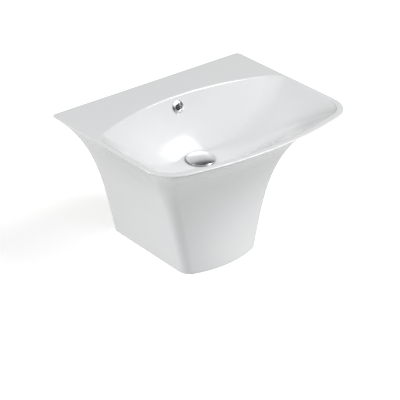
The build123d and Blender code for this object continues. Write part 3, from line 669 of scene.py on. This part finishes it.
def new_group(name, inputs, outputs):
    """Node group of named number sockets; inputs has the default of each."""
    group = bpy.data.node_groups.new(name, "ShaderNodeTree")
    kind = "NodeSocketFloat"
    for label, default in inputs.items():
        socket = group.interface.new_socket(label, in_out="INPUT", socket_type=kind)
        socket.default_value = default
    for label in outputs:
        group.interface.new_socket(label, in_out="OUTPUT", socket_type=kind)
    enter = group.nodes.new("NodeGroupInput")
    leave = group.nodes.new("NodeGroupOutput")
    return group, enter, leave


def place_group(tree, group, **values):
    node = tree.nodes.new("ShaderNodeGroup")
    node.node_tree = group
    for label, value in values.items():
        node.inputs[label.replace("_", " ")].default_value = value
    return node


def feed(tree, socket, value):
    """Gives a socket a number or another node's output."""
    if isinstance(value, (int, float)):
        socket.default_value = value
    else:
        tree.links.new(value, socket)


def maths(tree, operation, first, second=None, third=None):
    node = tree.nodes.new("ShaderNodeMath")
    node.operation = operation
    for socket, value in zip(node.inputs, (first, second, third)):
        if value is not None:
            feed(tree, socket, value)
    return node.outputs[0]


def noise(tree, vector, scale, detail=2.0, roughness=0.5, distortion=0.0):
    node = tree.nodes.new("ShaderNodeTexNoise")
    node.inputs["Detail"].default_value = detail
    node.inputs["Roughness"].default_value = roughness
    node.inputs["Distortion"].default_value = distortion
    tree.links.new(vector, node.inputs["Vector"])
    feed(tree, node.inputs["Scale"], scale)
    return node.outputs["Fac"]


def cells(tree, vector, scale):
    """Distance from the middles of random cells."""
    node = tree.nodes.new("ShaderNodeTexVoronoi")
    tree.links.new(vector, node.inputs["Vector"])
    feed(tree, node.inputs["Scale"], scale)
    return node.outputs["Distance"]


def stretch(tree, vector, factors):
    node = tree.nodes.new("ShaderNodeVectorMath")
    node.operation = "MULTIPLY"
    tree.links.new(vector, node.inputs[0])
    node.inputs[1].default_value = factors
    return node.outputs[0]


def remap(tree, value, low, high, to_low=0.0, to_high=1.0):
    node = tree.nodes.new("ShaderNodeMapRange")
    node.interpolation_type = "SMOOTHSTEP"
    for label, number in (("From Min", low), ("From Max", high),
                          ("To Min", to_low), ("To Max", to_high)):
        node.inputs[label].default_value = number
    tree.links.new(value, node.inputs["Value"])
    return node.outputs["Result"]


def blend_colour(tree, mask, first, second):
    """Mix of two colours by a mask; a colour is a socket or three numbers."""
    node = tree.nodes.new("ShaderNodeMix")
    node.data_type = "RGBA"
    tree.links.new(mask, node.inputs["Factor"])
    for label, value in (("A", first), ("B", second)):
        socket = [s for s in node.inputs if s.name == label and s.type == "RGBA"][0]
        if isinstance(value, bpy.types.NodeSocket):
            tree.links.new(value, socket)
        else:
            socket.default_value = (*value, 1)
    return [s for s in node.outputs if s.type == "RGBA"][0]


def object_place(tree):
    return tree.nodes.new("ShaderNodeTexCoord").outputs["Object"]


def bump(tree, height, strength, distance):
    node = tree.nodes.new("ShaderNodeBump")
    node.inputs["Strength"].default_value = strength
    node.inputs["Distance"].default_value = distance
    tree.links.new(height, node.inputs["Height"])
    return node.outputs["Normal"]


# ---------------------------------------------------------------- shared surface effects


def ripple_group():
    """Slow waves of a poured surface with a little orange peel on top."""
    group, enter, leave = new_group(
        "Poured ripple", {"Wave scale": 14.0, "Peel scale": 420.0, "Peel share": 0.12},
        ("Height", "Shade"))
    place = object_place(group)
    wave = noise(group, place, enter.outputs["Wave scale"], 1.5, 0.4, 0.3)
    peel = noise(group, place, enter.outputs["Peel scale"], 1.0, 0.3)
    share = maths(group, "MULTIPLY", peel, enter.outputs["Peel share"])
    group.links.new(maths(group, "ADD", wave, share), leave.inputs["Height"])
    broad = noise(group, place, 6.0, 3.0, 0.55, 0.5)
    group.links.new(remap(group, broad, 0.3, 0.7), leave.inputs["Shade"])
    return group


def grain_group():
    """Fine grain with sparse pits."""
    group, enter, leave = new_group(
        "Fine grain", {"Scale": 900.0, "Pit scale": 160.0}, ("Height", "Mottle"))
    place = object_place(group)
    grain = noise(group, place, enter.outputs["Scale"], 3.0, 0.6)
    pit = remap(group, cells(group, place, enter.outputs["Pit scale"]), 0.05, 0.22, -0.8, 0.0)
    group.links.new(maths(group, "ADD", grain, pit), leave.inputs["Height"])
    mottle = noise(group, place, 38.0, 4.0, 0.6, 0.4)
    group.links.new(remap(group, mottle, 0.35, 0.68), leave.inputs["Mottle"])
    return group


def wet_group():
    """Dried drops and faint downward runs, as a mask."""
    group, enter, leave = new_group(
        "Water marks", {"Drop scale": 120.0, "Amount": 0.5}, ("Mask",))
    place = object_place(group)
    drops = cells(group, place, enter.outputs["Drop scale"])
    ring = maths(group, "ABSOLUTE", maths(group, "SUBTRACT", drops, 0.3))
    ring = remap(group, ring, 0.0, 0.07, 1.0, 0.0)
    where = remap(group, noise(group, place, 17.0, 2.0, 0.5), 0.56, 0.7)
    runs = noise(group, stretch(group, place, (90.0, 90.0, 7.0)), 1.0, 2.0, 0.5)
    runs = remap(group, runs, 0.6, 0.78, 0.0, 0.6)
    marks = maths(group, "ADD", maths(group, "MULTIPLY", ring, where), runs)
    marks = maths(group, "MULTIPLY", marks, enter.outputs["Amount"])
    node = group.nodes.new("ShaderNodeClamp")
    group.links.new(marks, node.inputs["Value"])
    group.links.new(node.outputs["Result"], leave.inputs["Mask"])
    return group


def tooling_group():
    """Turned or drawn lines along one axis, with fine scratches."""
    group, enter, leave = new_group(
        "Tool lines", {"Line scale": 1.0, "Scratch": 0.4}, ("Height", "Mask"))
    place = object_place(group)
    level_lines = noise(group, stretch(group, place, (12.0, 12.0, 2600.0)),
                        enter.outputs["Line scale"], 2.0, 0.5)
    scratches = noise(group, stretch(group, place, (1500.0, 60.0, 60.0)), 1.0, 3.0, 0.6)
    scratches = remap(group, scratches, 0.62, 0.7)
    scratches = maths(group, "MULTIPLY", scratches, enter.outputs["Scratch"])
    group.links.new(maths(group, "SUBTRACT", level_lines, scratches), leave.inputs["Height"])
    patch = noise(group, place, 60.0, 3.0, 0.55, 0.6)
    group.links.new(remap(group, patch, 0.4, 0.7), leave.inputs["Mask"])
    return group


EFFECTS = {}


def effect(name, maker):
    """A shared group, made the first time it is asked for."""
    if name not in EFFECTS:
        EFFECTS[name] = maker()
    return EFFECTS[name]


# ---------------------------------------------------------------- finishes


def tinted(value, factor):
    return tuple(min(1.0, c * f) for c, f in zip(value, factor))


def varied(tree, mask, value, factor):
    """A colour that a mask brings up from a tinted one."""
    return blend_colour(tree, mask, tinted(value, factor), value)


def swing(tree, mask, gain, base):
    """A number that moves with a mask."""
    return maths(tree, "MULTIPLY_ADD", mask, gain, base)


def dress(tree, base, roughness, height, strength, distance):
    """Links the colour, the roughness and the relief of a finish to its shader."""
    relief = bump(tree, height, strength, distance)
    for label, output in (("Base Color", base), ("Roughness", roughness), ("Normal", relief)):
        tree.links.new(output, shader_of(tree).inputs[label])


def china_glaze(colours):
    """Glossy white glaze: clear coat over a soft white body."""
    material, tree = new_material("China glaze", colours.glaze)
    shader = shader_of(tree)
    ripple = place_group(tree, effect("ripple", ripple_group), Wave_scale=11.0)
    wet = place_group(tree, effect("wet", wet_group), Amount=0.55).outputs["Mask"]
    base = varied(tree, ripple.outputs["Shade"], colours.glaze, (0.985, 0.988, 0.99))
    dress(tree, base, swing(tree, wet, 0.16, 0.2), ripple.outputs["Height"], 0.10, 0.0006)
    tree.links.new(swing(tree, wet, -0.35, 0.8), shader.inputs["Coat Weight"])
    shader.inputs["Coat Roughness"].default_value = 0.045
    shader.inputs["IOR"].default_value = 1.5
    shader.inputs["Specular IOR Level"].default_value = 0.35
    return material


def china_bisque(colours):
    """Bare fired clay, chalky and slightly pitted."""
    material, tree = new_material("China bisque", colours.bisque)
    grain = place_group(tree, effect("grain", grain_group), Scale=700.0)
    mottle = grain.outputs["Mottle"]
    dress(tree, varied(tree, mottle, colours.bisque, (0.93, 0.91, 0.88)),
          swing(tree, mottle, 0.1, 0.78), grain.outputs["Height"], 0.35, 0.0003)
    return material


def metal(name, value, roughness, lines, strength, marks):
    """Metal with tool lines, uneven polish and dried drops."""
    material, tree = new_material(name, value)
    tool = place_group(tree, effect("tooling", tooling_group), Line_scale=lines)
    wet = place_group(tree, effect("wet", wet_group), Drop_scale=260.0, Amount=marks)
    patch = swing(tree, tool.outputs["Mask"], 0.05, roughness)
    dress(tree, varied(tree, tool.outputs["Mask"], value, (0.93, 0.93, 0.94)),
          swing(tree, wet.outputs["Mask"], 0.18, patch), tool.outputs["Height"],
          strength, 0.0002)
    shader_of(tree).inputs["Metallic"].default_value = 1.0
    return material


def zinc_plate(colours):
    """Zinc plate with its faint cloudy spangle."""
    material = metal("Zinc plate", colours.zinc, 0.34, 0.5, 0.2, 0.2)
    tree = material.node_tree
    cloud = remap(tree, cells(tree, object_place(tree), 420.0), 0.1, 0.7)
    tree.links.new(varied(tree, cloud, colours.zinc, (0.84, 0.86, 0.9)),
                   shader_of(tree).inputs["Base Color"])
    return material


def plastic(name, value, roughness, texture):
    """Moulded plastic: slight mottle, fine grain, scuffs."""
    material, tree = new_material(name, value)
    grain = place_group(tree, effect("grain", grain_group), Scale=1500.0)
    tool = place_group(tree, effect("tooling", tooling_group), Scratch=0.7)
    dress(tree, varied(tree, grain.outputs["Mottle"], value, (0.95, 0.95, 0.94)),
          swing(tree, tool.outputs["Mask"], 0.12, roughness), grain.outputs["Height"],
          texture, 0.0002)
    return material


def rubber(colours):
    """Black moulded rubber with a dusty bloom."""
    material, tree = new_material("Seal rubber", colours.rubber)
    grain = place_group(tree, effect("grain", grain_group), Scale=1900.0)
    mottle = grain.outputs["Mottle"]
    dress(tree, blend_colour(tree, mottle, colours.rubber, (0.05, 0.05, 0.052)),
          swing(tree, mottle, 0.2, 0.62), grain.outputs["Height"], 0.3, 0.0002)
    return material


FINISHES = {
    "China glaze": china_glaze,
    "China bisque": china_bisque,
    "Bright chrome": lambda c: metal("Bright chrome", c.chrome, 0.2, 0.6, 0.01, 0.15),
    "Turned brass": lambda c: metal("Turned brass", c.brass, 0.26, 1.0, 0.35, 0.2),
    "Zinc plate": zinc_plate,
    "Spring wire": lambda c: metal("Spring wire", c.spring, 0.2, 0.8, 0.15, 0.1),
    "Seal rubber": rubber,
    "White plastic": lambda c: plastic("White plastic", c.white, 0.3, 0.12),
    "Grey plastic": lambda c: plastic("Grey plastic", c.grey, 0.46, 0.3),
}

CARRIED = {
    "White plastic": ("union_nut", "inlet_pipe", "neck_nut", "trap_body", "trap_cup",
                      "outlet_nut", "outlet_pipe"),
    "Grey plastic": ("tail_washer", "bolt_sleeves"),
    "Turned brass": ("cartridge", "tail_nut"),
    "Zinc plate": ("plunger", "bolt_washers"),
    "Spring wire": ("cartridge_spring",),
    "Bright chrome": ("waste_body",),
    "Seal rubber": ("cap_seal", "flange_seal", "tail_seal", "union_washer", "neck_washer",
                    "cup_seal", "outlet_washer"),
}


def finish(name):
    """The named finish, made the first time it is asked for."""
    made = bpy.data.materials.get(name)
    return made or FINISHES[name](bpy.context.scene.basin_colours)


# ---------------------------------------------------------------- operators


class BASIN_OT_china(bpy.types.Operator):
    """Cast the basin with its bowl, overflow channel and half pedestal"""

    bl_idname = "basin.china"
    bl_label = "China"

    def execute(self, context):
        scene = context.scene
        shape = ChinaShape(scene.basin_china, scene.basin_bowl)
        glaze, bisque = finish("China glaze"), finish("China bisque")
        body = casting(shape)
        body.data.materials.append(glaze)
        space = cavity(shape)
        space.data.materials.append(bisque)
        combine(body, space, "DIFFERENCE")
        channel = overflow_tools(shape, scene.basin_fittings)
        channel.data.materials.append(bisque)
        combine(body, channel, "DIFFERENCE")
        for x in (-BOLT_X, BOLT_X):
            hole = rod("Fixing hole", mm(8), -mm(5), mm(40), facing_front(x, 0, 0))
            hole.data.materials.append(bisque)
            combine(body, hole, "DIFFERENCE")
        mark_bisque(body, bisque)
        smooth(body, 55)
        body.cycles.shadow_terminator_offset = 0.15
        body.cycles.shadow_terminator_geometry_offset = 0.4
        settle(body, "basin", "basin", None, *CHINA_NODES)
        return {"FINISHED"}


class BASIN_OT_overflow_ring(bpy.types.Operator):
    """Make the flanged ring in the overflow hole"""

    bl_idname = "basin.overflow_ring"
    bl_label = "Overflow ring"

    def execute(self, context):
        scene = context.scene
        sizes = scene.basin_fittings
        shape = ChinaShape(scene.basin_china, scene.basin_bowl)
        spigot = scene.basin_bowl.overflow_bore - HAIR
        low, top = -sizes.ring_seat, sizes.ring_proud - sizes.ring_seat
        profile = [
            (sizes.ring_hole, top - mm(1.1)), (sizes.ring_hole + mm(1.4), top),
            (sizes.ring_hole + mm(4.2), top - mm(0.2)), (sizes.ring - mm(0.8), top - mm(1.5)),
            (sizes.ring, low + mm(0.9)), (sizes.ring, low), (spigot, low),
            (spigot, low - sizes.ring_spigot), (sizes.ring_hole, low - sizes.ring_spigot),
        ]
        ring = turned("Overflow_ring", profile, overflow_frame(shape), mm(0.7), 112)
        settle(ring, "basin", "chrome", finish("Bright chrome"), "overflow_ring")
        return {"FINISHED"}


class BASIN_OT_drain_cap(bpy.types.Operator):
    """Make the domed cap of the pop-up waste with its threaded boss"""

    bl_idname = "basin.drain_cap"
    bl_label = "Drain cap"

    def execute(self, context):
        sizes = context.scene.basin_fittings
        radius = (CAP_HIGH.x - CAP_LOW.x) / 2
        rise, edge = sizes.cap_rise, sizes.cap_edge
        top = CAP_HIGH.z
        under = top - rise - edge
        reach = (radius ** 2 + rise ** 2) / (2 * rise)
        points = []
        for share in np.linspace(0.012, 0.975, 30):
            r = radius * share
            points.append((r, top - reach + math.sqrt(reach ** 2 - r ** 2)))
        edge_top = points[-1][1]
        middle = (edge_top + under) / 2
        half = (edge_top - under) / 2
        for turn in np.linspace(math.pi / 2, -math.pi / 2, 13)[1:]:
            points.append((radius - mm(0.86) + mm(0.86) * math.cos(turn),
                           middle + half * math.sin(turn)))
        points += [(radius - mm(3), under), (mm(7.2), under), (mm(6.5), under - mm(0.7)),
                   (mm(6.5), CAP_LOW.z + mm(0.5)), (mm(6.0), CAP_LOW.z),
                   (mm(3.1), CAP_LOW.z)]
        cap = capped("Drain_cap", [circle(r, z, 128) for r, z in points], 40)
        thread = rod("Thread", mm(3.1), CAP_LOW.z - mm(2), under - mm(1), count=48)
        combine(cap, thread, "DIFFERENCE")
        smooth(cap, 40)
        cap.data.transform(Matrix.Translation((DRAIN.x, DRAIN.y, 0)))
        settle(cap, "stopper", "chrome", finish("Bright chrome"), "drain_cap")
        return {"FINISHED"}


def threaded(radius, depth, pitch, start, end, taper, step, count=40):
    """Rings of a rod with a helical thread; taper is the length of its pointed end."""
    angles = np.linspace(0, 2 * math.pi, count, endpoint=False)
    rings = []
    for z in np.arange(start, end + step / 2, step):
        wave = (z / pitch - angles / (2 * math.pi)) % 1.0
        ridge = 1 - np.abs(2 * wave - 1)
        near = min(1.0, (end - z) / taper) if taper else 1.0
        size = (radius - depth * (1 - ridge)) * (0.28 + 0.72 * max(near, 0))
        rings.append(circle(size, z, count))
    return rings


class BASIN_OT_wall_bolts(bpy.types.Operator):
    """Make the two hanger bolts with their threads"""

    bl_idname = "basin.wall_bolts"
    bl_label = "Wall bolts"

    def execute(self, context):
        sizes = context.scene.basin_fittings
        bolts = []
        for side in (-1, 1):
            metric = threaded(BOLT_RADIUS, mm(0.7), sizes.metric_pitch, BOLT_LOW.y,
                              -mm(2), 0, mm(0.3))
            plain = [circle(mm(4.5), y, 40) for y in (-mm(1.6), mm(5))]
            screw = threaded(mm(4.8), mm(1.2), sizes.thread_pitch, mm(5.4), BOLT_HIGH.y,
                             mm(9.6), mm(0.4))
            rings = [circle(mm(4), BOLT_LOW.y, 40)] + metric[2:] + plain + screw
            bolt = skinned("Bolt", rings)
            turn = Matrix.Rotation(-math.pi / 2, 4, "X")
            bolt.data.transform(Matrix.Translation((side * BOLT_X, 0, 0)) @ turn)
            bolts.append(bolt)
        pair = smooth(joined("Wall_bolts", bolts), 30)
        settle(pair, "basin", "zinc_steel", finish("Zinc plate"), "wall_bolts")
        return {"FINISHED"}


class BASIN_OT_bolt_nuts(bpy.types.Operator):
    """Make the chamfered hexagon nuts on the wall bolts"""

    bl_idname = "basin.bolt_nuts"
    bl_label = "Bolt nuts"

    def execute(self, context):
        low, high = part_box("bolt_nuts")
        flats = (high.z - low.z) / 2
        count = 144
        angles = np.linspace(0, 2 * math.pi, count, endpoint=False)
        sector = (angles + math.pi / 6) % (math.pi / 3) - math.pi / 6
        hexagon = flats / np.cos(sector)
        thick = high.y - low.y
        nuts = []
        for side in (-1, 1):
            rings = [circle(mm(5.1), 0, count), circle(mm(5.7), 0, count)]
            chamfer = [(share, mm(1.1) * share) for share in np.linspace(0, 1, 5)]
            chamfer += [(share, thick - height) for share, height in chamfer[::-1]]
            for share, height in chamfer:
                limit = flats * (0.97 + 0.2 * share)
                rings.append(circle(np.minimum(hexagon, limit), height, count))
            rings += [circle(mm(5.7), thick, count), circle(mm(5.1), thick, count)]
            nut = skinned("Nut", rings, wrap=True)
            nut.data.transform(facing_front(side * BOLT_X, high.y, 0))
            nuts.append(nut)
        pair = smooth(joined("Bolt_nuts", nuts), 25)
        settle(pair, "basin", "zinc_steel", finish("Zinc plate"), "bolt_nuts")
        return {"FINISHED"}


class BASIN_OT_wall_flange(bpy.types.Operator):
    """Make the dished cover plate round the outlet pipe"""

    bl_idname = "basin.wall_flange"
    bl_label = "Wall flange"

    def execute(self, context):
        low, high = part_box("wall_flange")
        bore = (PIPE_HIGH.x - PIPE_LOW.x) / 2 + mm(0.1)
        radius = (high.x - low.x) / 2
        reach = high.y - low.y
        wall = mm(1.6)
        slope = [(bore + wall, reach - mm(0.4)), (bore + wall + mm(2.6), reach - mm(2.6)),
                 (bore + wall + mm(7.5), reach - mm(5.6)), (radius - mm(3.4), wall + mm(1.1)),
                 (radius - mm(0.8), wall + mm(0.2)), (radius, mm(0.9))]
        under = [(radius, 0), (radius - wall, 0), (radius - mm(4.5), wall * 0.9),
                 (bore + wall + mm(6.5), reach - mm(8)), (bore + wall, reach - mm(4.4)),
                 (bore + wall, 0)]
        profile = [(bore, 0), (bore, reach)] + slope + under
        place = facing_front(0, high.y, (low.z + high.z) / 2)
        plate = turned("Wall_flange", profile, place, mm(0.5), 112)
        settle(plate, "basin", "white_plastic", finish("White plastic"), "wall_flange")
        return {"FINISHED"}


class BASIN_OT_finishes(bpy.types.Operator):
    """Give the waste, the trap and the fixings their finishes"""

    bl_idname = "basin.finishes"
    bl_label = "Fittings' finishes"

    def execute(self, context):
        for name, nodes in CARRIED.items():
            for node in nodes:
                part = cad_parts[node]
                for slot in part.material_slots:
                    slot.material = finish(name)
        return {"FINISHED"}


LAMP_TARGET = Vector((0, -0.22, -0.05))
LAMP_REACH = 6.0
LAMP_SIZE = 3.4
FLOOR_HALF = 6.0


def toward(azimuth, elevation):
    """Unit direction: azimuth from the front, elevation above the level."""
    flat = math.cos(elevation)
    return Vector((math.sin(azimuth) * flat, -math.cos(azimuth) * flat,
                   math.sin(elevation)))


def area_lamp(name, azimuth, elevation, power):
    """Soft square lamp that faces the basin; its angles are in degrees."""
    lamp = bpy.data.lights.new(name, "AREA")
    lamp.shape = "SQUARE"
    lamp.size = LAMP_SIZE
    lamp.energy = power
    made = bpy.data.objects.new(name, lamp)
    way = toward(math.radians(azimuth), math.radians(elevation))
    made.location = LAMP_TARGET + way * LAMP_REACH
    made.rotation_euler = way.to_track_quat("Z", "Y").to_euler()
    bpy.context.scene.collection.objects.link(made)
    return made


class BASIN_OT_stage(bpy.types.Operator):
    """Set up the camera, the lamps and the floor"""

    bl_idname = "basin.stage"
    bl_label = "Stage"

    def execute(self, context):
        scene = context.scene
        studio = scene.basin_studio
        self.camera(scene, studio)
        self.lamps(scene, studio)
        self.ground(studio)
        return {"FINISHED"}

    def camera(self, scene, studio):
        a, r = studio.azimuth, studio.roll
        back = toward(a, studio.elevation)
        right = Vector((math.cos(a), math.sin(a), 0))
        up = back.cross(right)
        side = right * math.cos(r) + up * math.sin(r)
        top = up * math.cos(r) - right * math.sin(r)
        data = bpy.data.cameras.new("Camera")
        data.sensor_width = 36
        data.lens = studio.lens
        camera = bpy.data.objects.new("Camera", data)
        turn = Matrix((side, top, back)).transposed().to_4x4()
        place = Vector(studio.aim) + back * studio.distance
        camera.matrix_world = Matrix.Translation(place) @ turn
        scene.collection.objects.link(camera)
        scene.camera = camera

    def lamps(self, scene, studio):
        world = bpy.data.worlds.new("Studio")
        scene.world = world
        world.use_nodes = True
        tree = world.node_tree
        shade = tree.nodes["Background"]
        shade.inputs["Color"].default_value = (1, 1, 1, 1)
        seen = tree.nodes.new("ShaderNodeLightPath").outputs["Is Camera Ray"]
        tree.links.new(maths(tree, "MULTIPLY_ADD", seen, 1 - studio.world, studio.world),
                       shade.inputs["Strength"])
        area_lamp("Key lamp", 40, 45, studio.key)
        area_lamp("Fill lamp", -115, 27, studio.fill)
        scene.view_settings.view_transform = "Standard"

    def ground(self, studio):
        corners = [(x * FLOOR_HALF, y * FLOOR_HALF, 0)
                   for x, y in ((-1, -1), (1, -1), (1, 1), (-1, 1))]
        floor = mesh_object("Floor", corners, [(0, 1, 2, 3)])
        floor.location.z = FOOT_Z - mm(0.5)
        material, tree = new_material("Pale floor", studio.floor)
        shader = shader_of(tree)
        seen = tree.nodes.new("ShaderNodeLightPath").outputs["Is Camera Ray"]
        paint = blend_colour(tree, seen, tinted(studio.floor, (studio.bounce,) * 3),
                             tuple(studio.floor))
        tree.links.new(paint, shader.inputs["Base Color"])
        shader.inputs["Roughness"].default_value = 0.9
        shader.inputs["Specular IOR Level"].default_value = 0.0
        shader.inputs["Emission Color"].default_value = (1, 1, 1, 1)
        shader.inputs["Emission Strength"].default_value = studio.glow
        floor.data.materials.append(material)


# ---------------------------------------------------------------- panel and registration

STEPS = (
    BASIN_OT_china, BASIN_OT_overflow_ring, BASIN_OT_drain_cap, BASIN_OT_wall_bolts,
    BASIN_OT_bolt_nuts, BASIN_OT_wall_flange, BASIN_OT_finishes, BASIN_OT_stage,
)

SETTINGS = {
    "basin_china": ChinaSizes,
    "basin_bowl": BowlSizes,
    "basin_fittings": FittingSizes,
    "basin_colours": FinishColours,
    "basin_studio": StudioSettings,
}


class BASIN_PT_panel(bpy.types.Panel):
    """Lists every piece of the basin and its sizes"""

    bl_label = "Wash basin"
    bl_idname = "BASIN_PT_panel"
    bl_space_type = "VIEW_3D"
    bl_region_type = "UI"
    bl_category = "Basin"

    def draw(self, context):
        layout = self.layout
        for step in STEPS:
            layout.operator(step.bl_idname)
        for name in SETTINGS:
            settings = getattr(context.scene, name)
            box = layout.box()
            for key in settings.bl_rna.properties.keys():
                if key not in {"rna_type", "name"}:
                    box.prop(settings, key)


def register():
    for item in (*SETTINGS.values(), *STEPS, BASIN_PT_panel):
        bpy.utils.register_class(item)
    for name, group in SETTINGS.items():
        setattr(bpy.types.Scene, name, PointerProperty(type=group))


def unregister():
    for name in SETTINGS:
        delattr(bpy.types.Scene, name)
    for item in reversed((*SETTINGS.values(), *STEPS, BASIN_PT_panel)):
        bpy.utils.unregister_class(item)


def plain(bounds):
    return [[round(float(v), 6) for v in corner] for corner in bounds]


def main():
    register()
    for step in STEPS:
        group, name = step.bl_idname.split(".")
        getattr(getattr(bpy.ops, group), name)()


if __name__ == "__main__":
    main()
